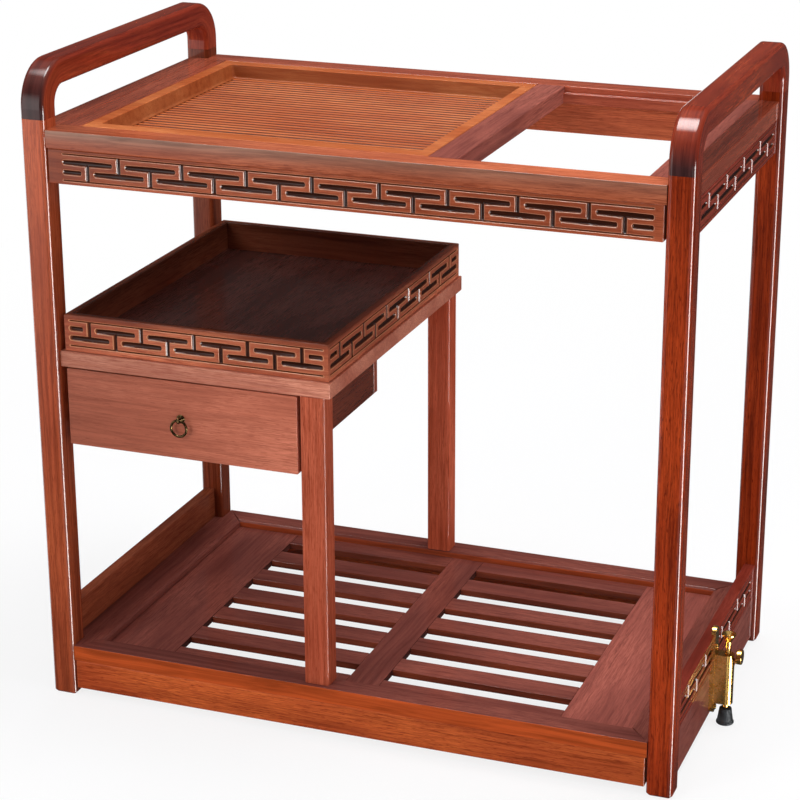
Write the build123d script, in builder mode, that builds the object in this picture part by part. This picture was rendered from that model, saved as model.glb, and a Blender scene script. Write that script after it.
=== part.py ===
from build123d import *
import math
import os

# Gongfu tea table: a leg frame with two side handles, a top with a ribbed tea tray and an open
# stove bay, a cabinet with a drawer under a loose waste-water tray, a slatted bottom shelf and a
# kick-down brake. Millimetres; +X runs along the table to the brake, +Y to its back, +Z up.

os.makedirs("parts", exist_ok=True)

# Overall frame
table_length = 820.0      # over the legs, along X
table_depth = 485.0       # over the legs, along Y
table_height = 820.0      # floor to the top of the handles
leg_size = 32.0           # square legs and handles
leg_round = 6.0
foot_chamfer = 3.0
end_setback = 5.5         # end faces of rails and aprons, inside the legs' outer faces
long_setback = 1.0        # front and back faces of rails and aprons
edge_round = 1.2          # softened edge of a board

# Handles
handle_joint_rise = 11.5  # joint of leg and handle corner, over the table top
handle_bend = 48.0        # outer radius of a handle corner

# Table top
top_drop = 77.5           # top of the handles to the table top
top_rail_thickness = 22.0
top_rail_width = 35.0     # front and back rails
top_end_width = 29.0      # end rails, inside the legs
tray_opening_length = 440.0
crossbar_width = 36.0
ledge_width = 5.0         # ledge that carries the tea tray
ledge_drop = 8.5          # its depth under the table top
apron_height = 42.0
apron_thickness = 22.0
apron_end_gap = 2.0       # from an apron's end to the leg

# Carved fret: T shapes and upturned T shapes by turns, between two thin lines
fret_depth = 2.5
fret_bar_width = 6.2
fret_stem_width = 5.0
fret_line_width = 1.6
fret_bar_row = 6.0        # centre line of the board to the centre of a bar
fret_line_row = 16.0      # centre line of the board to a thin line
fret_gap = 8.1            # centre of a stem to the end of the next bar
long_fret_margin = 15.0
long_stem_count = 17
end_fret_margin = 20.0
end_stem_count = 8
tray_fret_margin = 6.0
tray_front_stem_count = 9
tray_end_stem_count = 11

# Tea tray
tea_tray_clearance = 0.5
tea_tray_height = 26.0
tea_tray_depth = 18.0
tea_tray_end_rim = 16.0
tea_tray_long_rim = 20.0
tea_tray_corner = 5.0
tea_tray_cove = 4.0       # rounding between walls and floor
rib_pitch = 11.2
rib_groove_width = 6.0
rib_groove_depth = 1.8
rib_margin = 8.0          # plain strip between the grooves and the tray's walls

# Cabinet
cabinet_top_z = 465.5
cabinet_board_thickness = 20.0
cabinet_length = 357.0    # from the left legs to the board's free end
cabinet_setback = 7.5     # cabinet's front and back, inside the legs' outer faces
cabinet_leg_length = 33.0
cabinet_leg_depth = 28.0
cabinet_leg_round = 5.0
cabinet_leg_inset = 7.0   # from the board's free end
case_side_height = 79.0
case_board_thickness = 12.0
case_depth = 256.0        # drawer face to the back of the case

# Drawer
drawer_front_height = 99.0
drawer_front_thickness = 18.0
drawer_top_gap = 1.5
drawer_left_gap = 8.0
drawer_right_gap = 3.0
drawer_side_clearance = 1.0
drawer_slack = 0.3        # drawer over its runners, drawer front before the case
drawer_wall = 12.0
drawer_side_height = 58.0
drawer_bottom_thickness = 5.0
drawer_bottom_rise = 6.0  # drawer bottom over the lower edge of its sides
drawer_back_gap = 4.0
runner_height = 11.0
runner_width = 10.0

# Ring pull
pull_base_radius = 5.5
pull_base_thickness = 2.0
pull_neck_radius = 2.4
pull_eye_radius = 4.2
pull_eye_width = 3.2
pull_eye_reach = 6.5      # drawer face to the middle of the eye
pull_rise = 2.5           # eye over the middle of the drawer front
ring_radius = 10.2
ring_wire_radius = 1.6
ring_clearance = 0.35

# Waste-water tray
waste_tray_height = 46.5
waste_tray_wall = 11.0
waste_tray_end_gap = 6.0  # from the left legs
waste_tray_right_gap = 3.0  # from the board's free end
waste_tray_setback = 4.0  # from the board's front and back
waste_floor_lift = 1.5
waste_floor_thickness = 7.5
waste_field_margin = 28.0
waste_field_rise = 1.5

# Bottom shelf
shelf_z = 69.5
shelf_rail_thickness = 20.0
shelf_rail_width = 32.0
shelf_end_width = 28.0    # inside the legs
shelf_bevel = 3.0
shelf_apron_height = 39.0
shelf_panel_drop = 9.5
shelf_panel_thickness = 9.0
tongue_thickness = 4.0
tongue_length = 6.0
tongue_drop = 2.5         # panel's upper face to the tongue
slot_count = 6
slot_width = 30.0
slat_width = 35.0
end_board_width = 92.0
centre_board_width = 44.0
side_board_height = 44.0
side_board_thickness = 15.0

# Kick-down brake
brake_y = -30.0
brake_axis_reach = 20.0   # side face to the plunger's axis
brake_plate_width = 18.0
brake_plate_height = 117.5
brake_plate_thickness = 5.5
brake_plate_low_z = 13.5
brake_screw_rises = (7.0, 90.0)  # over the plate's lower end
brake_screw_radius = 1.75
brake_screw_length = 16.5
brake_screw_head_radius = 3.6
brake_screw_head_height = 2.2
screw_hole_clearance = 0.05
screw_end_gap = 1.0       # hole deeper than the screw
housing_radius = 8.5
housing_wall = 1.5
housing_height = 67.0
housing_cap = 3.0
plunger_radius = 3.5
plunger_clearance = 0.1
plunger_travel = 16.0
pedal_radius = 9.0
pedal_thickness = 1.6
pedal_dish = 4.5
pedal_clearance = 1.1     # pressed pedal over the housing
collar_radius = 6.3
collar_height = 3.0
foot_clearance = 1.0      # raised foot over the floor
foot_height = 21.0
foot_top_radius = 8.4
foot_bottom_radius = 11.4
foot_housing_gap = 7.0
lever_thickness = 2.5
lever_width = 8.0
lever_drop = 8.0          # housing top to the lever's middle
lever_hole_clearance = 0.6
lever_ring_width = 1.9    # of the lever, around the plunger
lever_pin_inset = 3.0     # plate face to the lever's pivot pin
lever_pin_radius = 1.0
lever_pin_clearance = 0.05
lever_barrel_radius = 2.2
lever_reach = 38.5        # side face to the outer face of the knob
knob_radius = 9.5
knob_thickness = 7.0
knob_lift = 6.0           # knob's centre over the lever
knob_round = 1.2
lever_slot_play = 3.4     # slot over and under the lever
lever_side_play = 1.0
spring_wire_radius = 0.7
spring_radius = 5.2
spring_turns = 9

# Main planes. The box around table and brake is centred on x = 0.
brake_overhang = lever_reach - end_setback
mid_x = -brake_overhang / 2
top_z = table_height - top_drop
left_x = mid_x - table_length / 2
right_x = mid_x + table_length / 2
back_y = table_depth / 2
inner_left_x = left_x + leg_size
inner_right_x = right_x - leg_size
inner_back_y = back_y - leg_size
face_left_x = left_x + end_setback
face_right_x = right_x - end_setback
face_back_y = back_y - long_setback
span_x = inner_right_x - inner_left_x
span_y = 2 * inner_back_y

FRONT = Plane(origin=(mid_x, -face_back_y, 0), x_dir=(1, 0, 0), z_dir=(0, -1, 0))
BACK = Plane(origin=(mid_x, face_back_y, 0), x_dir=(-1, 0, 0), z_dir=(0, 1, 0))
LEFT = Plane(origin=(face_left_x, 0, 0), x_dir=(0, -1, 0), z_dir=(-1, 0, 0))
RIGHT = Plane(origin=(face_right_x, 0, 0), x_dir=(0, 1, 0), z_dir=(1, 0, 0))


def save(piece, name):
    """Label a finished piece and write it to its own file."""
    piece.part.label = name
    export_step(piece.part, f"parts/{name}.step")


def rectangle(x, y):
    """Draw a rectangle between two x values and two y values."""
    with Locations(((x[0] + x[1]) / 2, (y[0] + y[1]) / 2)):
        Rectangle(x[1] - x[0], y[1] - y[0])


def block(x, y, z, rounding=edge_round):
    """Make a straight board between three pairs of limits, with softened edges."""
    with BuildPart() as board:
        with BuildSketch(Plane.XY.offset(z[0])):
            rectangle(x, y)
        extrude(amount=z[1] - z[0])
        if rounding:
            fillet(board.edges(), rounding)
    return board


def carve_fret(face, centre_z, field, stems, upturned):
    """Cut the fret into the active part: a field of T shapes and upturned T shapes by turns."""
    half_pitch = (field + 2 * fret_gap) / (stems + 1)
    bar = 2 * half_pitch - 2 * fret_gap
    stub = half_pitch - 2 * fret_gap
    stem = fret_bar_row + fret_line_row
    with BuildSketch(face) as fret:
        for row in (-fret_line_row, fret_line_row):
            with Locations((0, centre_z + row)):
                Rectangle(field, fret_line_width)
        for number in range(stems):
            side = -1 if (number % 2 == 0) == upturned else 1
            place = (number - (stems - 1) / 2) * half_pitch
            with Locations((place, centre_z + side * fret_bar_row)):
                SlotOverall(bar, fret_bar_width)
            with Locations((place, centre_z + side * (fret_bar_row - stem / 2))):
                Rectangle(fret_stem_width, stem)
            if number in (0, stems - 1):
                end = -1 if number == 0 else 1
                with Locations((end * (field - stub) / 2, centre_z - side * fret_bar_row)):
                    SlotOverall(stub, fret_bar_width)
    extrude(fret.sketch, amount=-fret_depth, mode=Mode.SUBTRACT)


def carved_board(face, length, thickness, z, margin, stems, upturned):
    """Make an upright board behind the plane `face`, with the fret on its outer side."""
    with BuildPart() as board:
        with BuildSketch(face):
            with Locations((0, (z[0] + z[1]) / 2)):
                Rectangle(length, z[1] - z[0])
        extrude(amount=-thickness)
        fillet(board.edges(), edge_round)
        carve_fret(face, (z[0] + z[1]) / 2, length - 2 * margin, stems, upturned)
    return board


# Legs, handle corners and handle bars
handle_joint_z = top_z + handle_joint_rise
bend_z = table_height - handle_bend
bend_radius = handle_bend - leg_size / 2
leg_centre_y = back_y - leg_size / 2

for end, leg_x in (("left", left_x + leg_size / 2), ("right", right_x - leg_size / 2)):
    for side, leg_y, turn in (("front", -leg_centre_y, -90), ("back", leg_centre_y, 90)):
        with BuildPart() as leg:
            with BuildSketch():
                with Locations((leg_x, leg_y)):
                    RectangleRounded(leg_size, leg_size, leg_round)
            extrude(amount=handle_joint_z)
            chamfer(leg.faces().sort_by(Axis.Z)[0].edges(), foot_chamfer)
        save(leg, f"leg_{side}_{end}")

        with BuildPart() as corner:
            with BuildLine(Plane.YZ.offset(leg_x)):
                rise = Line((leg_y, handle_joint_z), (leg_y, bend_z))
                JernArc(rise @ 1, rise % 1, bend_radius, turn)
            with BuildSketch(Plane.XY.offset(handle_joint_z)):
                with Locations((leg_x, leg_y)):
                    RectangleRounded(leg_size, leg_size, leg_round)
            sweep()
        save(corner, f"handle_corner_{side}_{end}")

    bar_end_y = back_y - handle_bend
    with BuildPart() as bar:
        with BuildSketch(Plane.XZ.offset(-bar_end_y)):
            with Locations((leg_x, table_height - leg_size / 2)):
                RectangleRounded(leg_size, leg_size, leg_round)
        extrude(amount=2 * bar_end_y)
    save(bar, f"handle_bar_{end}")

# Table top: rails with a ledge on the tray side, and the crossbar between tray and stove bay
top_low_z = top_z - top_rail_thickness
ledge_z = top_z - ledge_drop
opening_y = face_back_y - top_rail_width
tray_left_x = inner_left_x + top_end_width
tray_right_x = tray_left_x + tray_opening_length
bay_left_x = tray_right_x + crossbar_width
bay_right_x = inner_right_x - top_end_width


def ledged_rail(low_x, low_y, high_x, high_y):
    """Make a top rail: its lower part holds the ledge, its upper part frames the opening."""
    with BuildPart() as rail:
        with BuildSketch(Plane.XY.offset(top_low_z)):
            rectangle(low_x, low_y)
        extrude(amount=ledge_z - top_low_z)
        with BuildSketch(Plane.XY.offset(ledge_z)):
            rectangle(high_x, high_y)
        extrude(amount=ledge_drop)
        fillet(rail.faces().sort_by(Axis.Z)[-1].edges(), edge_round)
    return rail


long_span = (inner_left_x, inner_right_x)
high_span = (-opening_y, opening_y)
low_span = (-opening_y + ledge_width, opening_y - ledge_width)
save(ledged_rail(long_span, (-face_back_y, low_span[0]), long_span, (-face_back_y, high_span[0])),
     "top_front_rail")
save(ledged_rail(long_span, (low_span[1], face_back_y), long_span, (high_span[1], face_back_y)),
     "top_back_rail")
save(ledged_rail((inner_left_x, tray_left_x + ledge_width), low_span,
                 (inner_left_x, tray_left_x), high_span), "top_left_rail")
save(ledged_rail((tray_right_x - ledge_width, bay_left_x), low_span,
                 (tray_right_x, bay_left_x), high_span), "tray_crossbar")
save(ledged_rail((bay_right_x, inner_right_x), low_span,
                 (bay_right_x, inner_right_x), high_span), "top_right_rail")
end_span = (-inner_back_y, inner_back_y)
save(block((face_left_x, inner_left_x), end_span, (top_low_z, top_z)), "top_left_side_rail")
save(block((inner_right_x, face_right_x), end_span, (top_low_z, top_z)), "top_right_side_rail")

# Carved aprons under the top
apron_z = (top_low_z - apron_height, top_low_z)
long_apron = span_x - 2 * apron_end_gap
end_apron = span_y - 2 * apron_end_gap
for face, name, length, margin, stems, upturned in (
        (FRONT, "front", long_apron, long_fret_margin, long_stem_count, False),
        (BACK, "back", long_apron, long_fret_margin, long_stem_count, False),
        (LEFT, "left", end_apron, end_fret_margin, end_stem_count, True),
        (RIGHT, "right", end_apron, end_fret_margin, end_stem_count, True)):
    apron = carved_board(face, length, apron_thickness, apron_z, margin, stems, upturned)
    save(apron, f"top_{name}_apron")

# Tea tray: a rim on the ledge, a hollow with rounded bottom edges, and a ribbed floor
tray_x = (tray_left_x + tea_tray_clearance, tray_right_x - tea_tray_clearance)
tray_y = (-opening_y + tea_tray_clearance, opening_y - tea_tray_clearance)
tray_floor_z = top_z - tea_tray_depth
hollow_x = (tray_x[0] + tea_tray_end_rim, tray_x[1] - tea_tray_end_rim)
hollow_y = (tray_y[0] + tea_tray_long_rim, tray_y[1] - tea_tray_long_rim)
tray_mid_x = (tray_x[0] + tray_x[1]) / 2
rib_count = int((hollow_y[1] - hollow_y[0] - 2 * rib_margin) // rib_pitch)
with BuildPart() as tea_tray:
    with BuildSketch(Plane.XY.offset(top_z - tea_tray_height)):
        rectangle((tray_x[0] + ledge_width, tray_x[1] - ledge_width),
                  (tray_y[0] + ledge_width, tray_y[1] - ledge_width))
    extrude(amount=tea_tray_height - ledge_drop)
    with BuildSketch(Plane.XY.offset(ledge_z)):
        rectangle(tray_x, tray_y)
    extrude(amount=ledge_drop)
    fillet(tea_tray.faces().sort_by(Axis.Z)[-1].edges(), edge_round)
    with BuildSketch(Plane.XY.offset(top_z)):
        with Locations((tray_mid_x, 0)):
            RectangleRounded(hollow_x[1] - hollow_x[0], hollow_y[1] - hollow_y[0], tea_tray_corner)
    extrude(amount=-tea_tray_depth, mode=Mode.SUBTRACT)
    hollow_floor = tea_tray.faces().filter_by(Axis.Z).sort_by(Axis.Z)[1]
    fillet(hollow_floor.edges(), tea_tray_cove)
    with BuildSketch(Plane.XY.offset(tray_floor_z)):
        with Locations((tray_mid_x, 0)):
            with GridLocations(1, rib_pitch, 1, rib_count):
                SlotOverall(hollow_x[1] - hollow_x[0] - 2 * rib_margin, rib_groove_width)
    extrude(amount=-rib_groove_depth, mode=Mode.SUBTRACT)
save(tea_tray, "tea_tray")

# Cabinet board and the two cabinet legs that stand on the bottom shelf
cabinet_low_z = cabinet_top_z - cabinet_board_thickness
cabinet_right_x = inner_left_x + cabinet_length
cabinet_y = back_y - cabinet_setback
cabinet_board = block((inner_left_x, cabinet_right_x), (-cabinet_y, cabinet_y),
                      (cabinet_low_z, cabinet_top_z))
save(cabinet_board, "cabinet_board")

shelf_inner_y = face_back_y - shelf_rail_width
cabinet_leg_x = (cabinet_right_x - cabinet_leg_inset - cabinet_leg_length,
                 cabinet_right_x - cabinet_leg_inset)
cabinet_face_y = -cabinet_y
for side, sign in (("front", -1), ("back", 1)):
    with BuildPart() as cabinet_leg:
        with BuildSketch(Plane.XY.offset(shelf_z)):
            with Locations(((cabinet_leg_x[0] + cabinet_leg_x[1]) / 2,
                            sign * (cabinet_y - cabinet_leg_depth / 2))):
                RectangleRounded(cabinet_leg_length, cabinet_leg_depth, cabinet_leg_round)
        extrude(amount=cabinet_low_z - shelf_z)
    save(cabinet_leg, f"cabinet_leg_{side}")

# Drawer case: two sides and a back under the board, with runners on the sides
case_low_z = cabinet_low_z - case_side_height
case_front_y = cabinet_face_y + drawer_front_thickness + drawer_slack
case_back_y = cabinet_face_y + case_depth
case_x = (inner_left_x, cabinet_leg_x[0])
case_side_y = (case_front_y, case_back_y - case_board_thickness)
inside_x = (case_x[0] + case_board_thickness, case_x[1] - case_board_thickness)
case_z = (case_low_z, cabinet_low_z)
save(block((case_x[0], inside_x[0]), case_side_y, case_z), "case_left_side")
save(block((inside_x[1], case_x[1]), case_side_y, case_z), "case_right_side")
save(block(case_x, (case_side_y[1], case_back_y), case_z), "case_back")

runner_z = case_low_z + runner_height
with BuildPart() as drawer_runners:
    with BuildSketch(Plane.XY.offset(case_low_z)):
        rectangle((inside_x[0], inside_x[0] + runner_width), case_side_y)
        rectangle((inside_x[1] - runner_width, inside_x[1]), case_side_y)
    extrude(amount=runner_height)
save(drawer_runners, "drawer_runners")

# Drawer: an overlaid front, two sides, a back and a bottom
drawer_low_z = runner_z + drawer_slack
drawer_high_z = drawer_low_z + drawer_side_height
drawer_x = (inside_x[0] + drawer_side_clearance, inside_x[1] - drawer_side_clearance)
drawer_y = (cabinet_face_y + drawer_front_thickness, case_side_y[1] - drawer_back_gap)
front_top_z = cabinet_low_z - drawer_top_gap
front_x = (inner_left_x + drawer_left_gap, cabinet_leg_x[0] - drawer_right_gap)
bottom_z = drawer_low_z + drawer_bottom_rise
bottom_top_z = bottom_z + drawer_bottom_thickness
box_x = (drawer_x[0] + drawer_wall, drawer_x[1] - drawer_wall)
save(block(front_x, (cabinet_face_y, drawer_y[0]), (front_top_z - drawer_front_height, front_top_z)),
     "drawer_front")
save(block((drawer_x[0], box_x[0]), drawer_y, (drawer_low_z, drawer_high_z)), "drawer_left_side")
save(block((box_x[1], drawer_x[1]), drawer_y, (drawer_low_z, drawer_high_z)), "drawer_right_side")
save(block(box_x, (drawer_y[1] - drawer_wall, drawer_y[1]), (bottom_top_z, drawer_high_z)),
     "drawer_back")
save(block(box_x, drawer_y, (bottom_z, bottom_top_z), 0), "drawer_bottom")

# Ring pull: a turned base with an eye, and a ring that hangs in the eye
pull_x = (front_x[0] + front_x[1]) / 2
pull_z = front_top_z - drawer_front_height / 2 + pull_rise
pull_y = cabinet_face_y - pull_eye_reach
with BuildPart() as pull_post:
    with BuildSketch(Plane.XZ.offset(-cabinet_face_y)):
        with Locations((pull_x, pull_z)):
            Circle(pull_base_radius)
    extrude(amount=pull_base_thickness)
    fillet(pull_post.faces().sort_by(Axis.Y)[0].edges(), pull_base_thickness / 2)
    with BuildSketch(Plane.XZ.offset(-cabinet_face_y)):
        with Locations((pull_x, pull_z)):
            Circle(pull_neck_radius)
    extrude(amount=pull_eye_reach - pull_eye_radius / 2)
    with BuildSketch(Plane.YZ.offset(pull_x - pull_eye_width / 2)):
        with Locations((pull_y, pull_z)):
            Circle(pull_eye_radius)
    extrude(amount=pull_eye_width)
    with BuildSketch(Plane.YZ.offset(pull_x - pull_eye_width)):
        with Locations((pull_y, pull_z)):
            Circle(ring_wire_radius + ring_clearance)
    extrude(amount=2 * pull_eye_width, mode=Mode.SUBTRACT)
save(pull_post, "pull_post")

with BuildPart() as pull_ring:
    with BuildSketch(Plane.YZ.offset(pull_x)):
        with Locations((pull_y, pull_z)):
            Circle(ring_wire_radius)
    revolve(axis=Axis((pull_x, pull_y, pull_z - ring_radius), (0, 1, 0)))
save(pull_ring, "pull_ring")

# Waste-water tray: four mitred carved walls around a raised floor
waste_x = (inner_left_x + waste_tray_end_gap, cabinet_right_x - waste_tray_right_gap)
waste_y = cabinet_y - waste_tray_setback
waste_tray_length = waste_x[1] - waste_x[0]
waste_tray_depth = 2 * waste_y
waste_z = (cabinet_top_z, cabinet_top_z + waste_tray_height)
waste_mid_x = (waste_x[0] + waste_x[1]) / 2
WASTE_FRONT = Plane(origin=(waste_mid_x, -waste_y, 0), x_dir=(1, 0, 0), z_dir=(0, -1, 0))
WASTE_BACK = Plane(origin=(waste_mid_x, waste_y, 0), x_dir=(-1, 0, 0), z_dir=(0, 1, 0))
WASTE_LEFT = Plane(origin=(waste_x[0], 0, 0), x_dir=(0, -1, 0), z_dir=(-1, 0, 0))
WASTE_RIGHT = Plane(origin=(waste_x[1], 0, 0), x_dir=(0, 1, 0), z_dir=(1, 0, 0))
for face, name, length, stems in (
        (WASTE_FRONT, "front", waste_tray_length, tray_front_stem_count),
        (WASTE_BACK, "back", waste_tray_length, tray_front_stem_count),
        (WASTE_LEFT, "left", waste_tray_depth, tray_end_stem_count),
        (WASTE_RIGHT, "right", waste_tray_depth, tray_end_stem_count)):
    plan = Plane(origin=face.origin + (0, 0, waste_z[0]), x_dir=face.x_dir, z_dir=(0, 0, 1))
    outer = length / 2
    inner = outer - waste_tray_wall
    with BuildPart() as wall:
        with BuildSketch(plan):
            Polygon((-outer, 0), (outer, 0), (inner, waste_tray_wall), (-inner, waste_tray_wall),
                    align=None)
        extrude(amount=waste_tray_height)
        carve_fret(face, (waste_z[0] + waste_z[1]) / 2, length - 2 * tray_fret_margin, stems, True)
    save(wall, f"waste_tray_{name}")

floor_x = (waste_x[0] + waste_tray_wall, waste_x[1] - waste_tray_wall)
floor_y = (-waste_y + waste_tray_wall, waste_y - waste_tray_wall)
floor_top_z = waste_z[0] + waste_floor_lift + waste_floor_thickness
with BuildPart() as waste_tray_floor:
    with BuildSketch(Plane.XY.offset(waste_z[0] + waste_floor_lift)):
        rectangle(floor_x, floor_y)
    extrude(amount=waste_floor_thickness)
    with BuildSketch(Plane.XY.offset(floor_top_z)):
        rectangle((floor_x[0] + waste_field_margin, floor_x[1] - waste_field_margin),
                  (floor_y[0] + waste_field_margin, floor_y[1] - waste_field_margin))
    extrude(amount=waste_field_rise, taper=45)
save(waste_tray_floor, "waste_tray_floor")

# Bottom shelf frame: mitred rails, grooved for the panel; the end rails clear the legs
shelf_low_z = shelf_z - shelf_rail_thickness
shelf_inner_x = (inner_left_x + shelf_end_width, inner_right_x - shelf_end_width)
panel_z = shelf_z - shelf_panel_drop
tongue_z = (panel_z - tongue_drop - tongue_thickness, panel_z - tongue_drop)
tongue_x = (shelf_inner_x[0] - tongue_length, shelf_inner_x[1] + tongue_length)
tongue_y = (-shelf_inner_y - tongue_length, shelf_inner_y + tongue_length)


def shelf_rail(outline, inner_face):
    """Make a shelf rail from its plan, bevelled on the inner top edge and grooved for the panel."""
    with BuildPart() as rail:
        with BuildSketch(Plane.XY.offset(shelf_low_z)):
            Polygon(*outline, align=None)
        extrude(amount=shelf_rail_thickness)
        top_edges = rail.faces().sort_by(Axis.Z)[-1].edges()
        chamfer(top_edges.sort_by_distance(inner_face)[0], shelf_bevel)
        with BuildSketch(Plane.XY.offset(tongue_z[0])):
            rectangle(tongue_x, tongue_y)
        extrude(amount=tongue_thickness, mode=Mode.SUBTRACT)
    return rail


for side, sign in (("front", -1), ("back", 1)):
    long_outline = ((inner_left_x, sign * face_back_y), (inner_right_x, sign * face_back_y),
                    (shelf_inner_x[1], sign * shelf_inner_y), (shelf_inner_x[0], sign * shelf_inner_y))
    save(shelf_rail(long_outline, (mid_x, sign * shelf_inner_y, shelf_z)), f"shelf_{side}_rail")
for end, inner_x, leg_x, face_x in (("left", shelf_inner_x[0], inner_left_x, face_left_x),
                                    ("right", shelf_inner_x[1], inner_right_x, face_right_x)):
    end_outline = ((inner_x, -shelf_inner_y), (leg_x, -face_back_y), (leg_x, -inner_back_y),
                   (face_x, -inner_back_y), (face_x, inner_back_y), (leg_x, inner_back_y),
                   (leg_x, face_back_y), (inner_x, shelf_inner_y))
    save(shelf_rail(end_outline, (inner_x, 0, shelf_z)), f"shelf_{end}_rail")

# Shelf panel: end boards and a centre board with slats between them, held by tongues in the rails
shelf_mid_x = (shelf_inner_x[0] + shelf_inner_x[1]) / 2
panel_low_z = panel_z - shelf_panel_thickness
slot_pitch = slot_width + slat_width
last_slot_y = (slot_count - 1) / 2 * slot_pitch + slot_width / 2
slat_x = ((shelf_inner_x[0] + end_board_width, shelf_mid_x - centre_board_width / 2),
          (shelf_mid_x + centre_board_width / 2, shelf_inner_x[1] - end_board_width))


def add_panel_piece(x, y, tongued_x, tongued_y):
    """Add one piece of the panel to the active part: a board, and the tongue that reaches further."""
    with BuildSketch(Plane.XY.offset(panel_low_z)) as board:
        rectangle(x, y)
    extrude(board.sketch, amount=shelf_panel_thickness)
    with BuildSketch(Plane.XY.offset(tongue_z[0])) as tongue:
        rectangle(tongued_x, tongued_y)
    extrude(tongue.sketch, amount=tongue_thickness)


panel_y = (-shelf_inner_y, shelf_inner_y)
with BuildPart() as shelf_end_boards:
    add_panel_piece((shelf_inner_x[0], slat_x[0][0]), panel_y, (tongue_x[0], slat_x[0][0]), tongue_y)
    add_panel_piece((slat_x[1][1], shelf_inner_x[1]), panel_y, (slat_x[1][1], tongue_x[1]), tongue_y)
save(shelf_end_boards, "shelf_end_boards")

centre_x = (slat_x[0][1], slat_x[1][0])
with BuildPart() as shelf_centre_board:
    add_panel_piece(centre_x, panel_y, centre_x, tongue_y)
save(shelf_centre_board, "shelf_centre_board")

with BuildPart() as shelf_slats:
    for bay in slat_x:
        add_panel_piece(bay, (-shelf_inner_y, -last_slot_y), bay, (tongue_y[0], -last_slot_y))
        add_panel_piece(bay, (last_slot_y, shelf_inner_y), bay, (last_slot_y, tongue_y[1]))
        for number in range(slot_count - 1):
            slat_low_y = -last_slot_y + slot_width + number * slot_pitch
            slat_y = (slat_low_y, slat_low_y + slat_width)
            add_panel_piece(bay, slat_y, bay, slat_y)
save(shelf_slats, "shelf_slats")

# Plain aprons under the shelf, and carved boards that stand on its ends
shelf_apron_z = (shelf_low_z - shelf_apron_height, shelf_low_z)
apron_x = (inner_left_x + apron_end_gap, inner_right_x - apron_end_gap)
apron_y = (-inner_back_y + apron_end_gap, inner_back_y - apron_end_gap)
save(block(apron_x, (-face_back_y, -face_back_y + apron_thickness), shelf_apron_z),
     "shelf_front_apron")
save(block(apron_x, (face_back_y - apron_thickness, face_back_y), shelf_apron_z),
     "shelf_back_apron")
save(block((face_left_x, face_left_x + apron_thickness), apron_y, shelf_apron_z),
     "shelf_left_apron")

# The two brake screws go into the right-hand board and the right-hand apron
brake_plate_z = (brake_plate_low_z, brake_plate_low_z + brake_plate_height)
plate_face_x = face_right_x + brake_plate_thickness
SCREW_HOLES = [(brake_y, brake_plate_z[0] + rise) for rise in brake_screw_rises]


def drill_screw_holes():
    """Cut the holes of the brake screws into the active part."""
    with BuildSketch(Plane.YZ.offset(plate_face_x)) as holes:
        with Locations(*SCREW_HOLES):
            Circle(brake_screw_radius + screw_hole_clearance)
    extrude(holes.sketch, amount=-brake_screw_length - screw_end_gap, mode=Mode.SUBTRACT)


with BuildPart() as shelf_right_apron:
    add(block((face_right_x - apron_thickness, face_right_x), apron_y, shelf_apron_z).part)
    drill_screw_holes()
save(shelf_right_apron, "shelf_right_apron")

side_board_z = (shelf_z, shelf_z + side_board_height)
end_board_sizes = (span_y, side_board_thickness, side_board_z, end_fret_margin + apron_end_gap,
                   end_stem_count, True)
save(carved_board(LEFT, *end_board_sizes), "shelf_left_board")
with BuildPart() as shelf_right_board:
    add(carved_board(RIGHT, *end_board_sizes).part)
    drill_screw_holes()
save(shelf_right_board, "shelf_right_board")

# Brake bracket: a plate on the table's side with a housing around the plunger
brake_x = face_right_x + brake_axis_reach
foot_top_z = foot_clearance + foot_height
housing_z = (foot_top_z + foot_housing_gap, foot_top_z + foot_housing_gap + housing_height)
lever_z = housing_z[1] - lever_drop
cavity_z = (housing_z[0] + housing_cap, housing_z[1] - housing_cap)
cavity_radius = housing_radius - housing_wall
lever_pin_x = plate_face_x + lever_pin_inset


def housing_outline(radius, back_x):
    """Draw the housing's plan: straight sides from the plate, and a round front."""
    with Locations((brake_x, brake_y)):
        Circle(radius)
    rectangle((back_x, brake_x), (brake_y - radius, brake_y + radius))


with BuildPart() as brake_bracket:
    with BuildSketch(Plane.YZ.offset(face_right_x)):
        with Locations((brake_y, (brake_plate_z[0] + brake_plate_z[1]) / 2)):
            SlotOverall(brake_plate_height, brake_plate_width, rotation=90)
    extrude(amount=brake_plate_thickness)
    with BuildSketch(Plane.XY.offset(housing_z[0])):
        housing_outline(housing_radius, face_right_x)
    extrude(amount=housing_height)
    with BuildSketch(Plane.XY.offset(cavity_z[0])):
        housing_outline(cavity_radius, plate_face_x)
    extrude(amount=cavity_z[1] - cavity_z[0], mode=Mode.SUBTRACT)
    with BuildSketch(Plane.XY.offset(housing_z[0])):
        with Locations((brake_x, brake_y)):
            Circle(plunger_radius + plunger_clearance)
    extrude(amount=housing_height, mode=Mode.SUBTRACT)
    with BuildSketch(Plane.XY.offset(lever_z - lever_thickness / 2 - lever_slot_play)):
        rectangle((brake_x, brake_x + 2 * housing_radius),
                  (brake_y - lever_width / 2 - lever_side_play,
                   brake_y + lever_width / 2 + lever_side_play))
    extrude(amount=lever_thickness + 2 * lever_slot_play, mode=Mode.SUBTRACT)
    with BuildSketch(Plane.XZ.offset(-brake_y - cavity_radius)):
        with Locations((lever_pin_x, lever_z)):
            Circle(lever_pin_radius)
    extrude(amount=2 * cavity_radius)
    drill_screw_holes()
save(brake_bracket, "brake_bracket")

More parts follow.
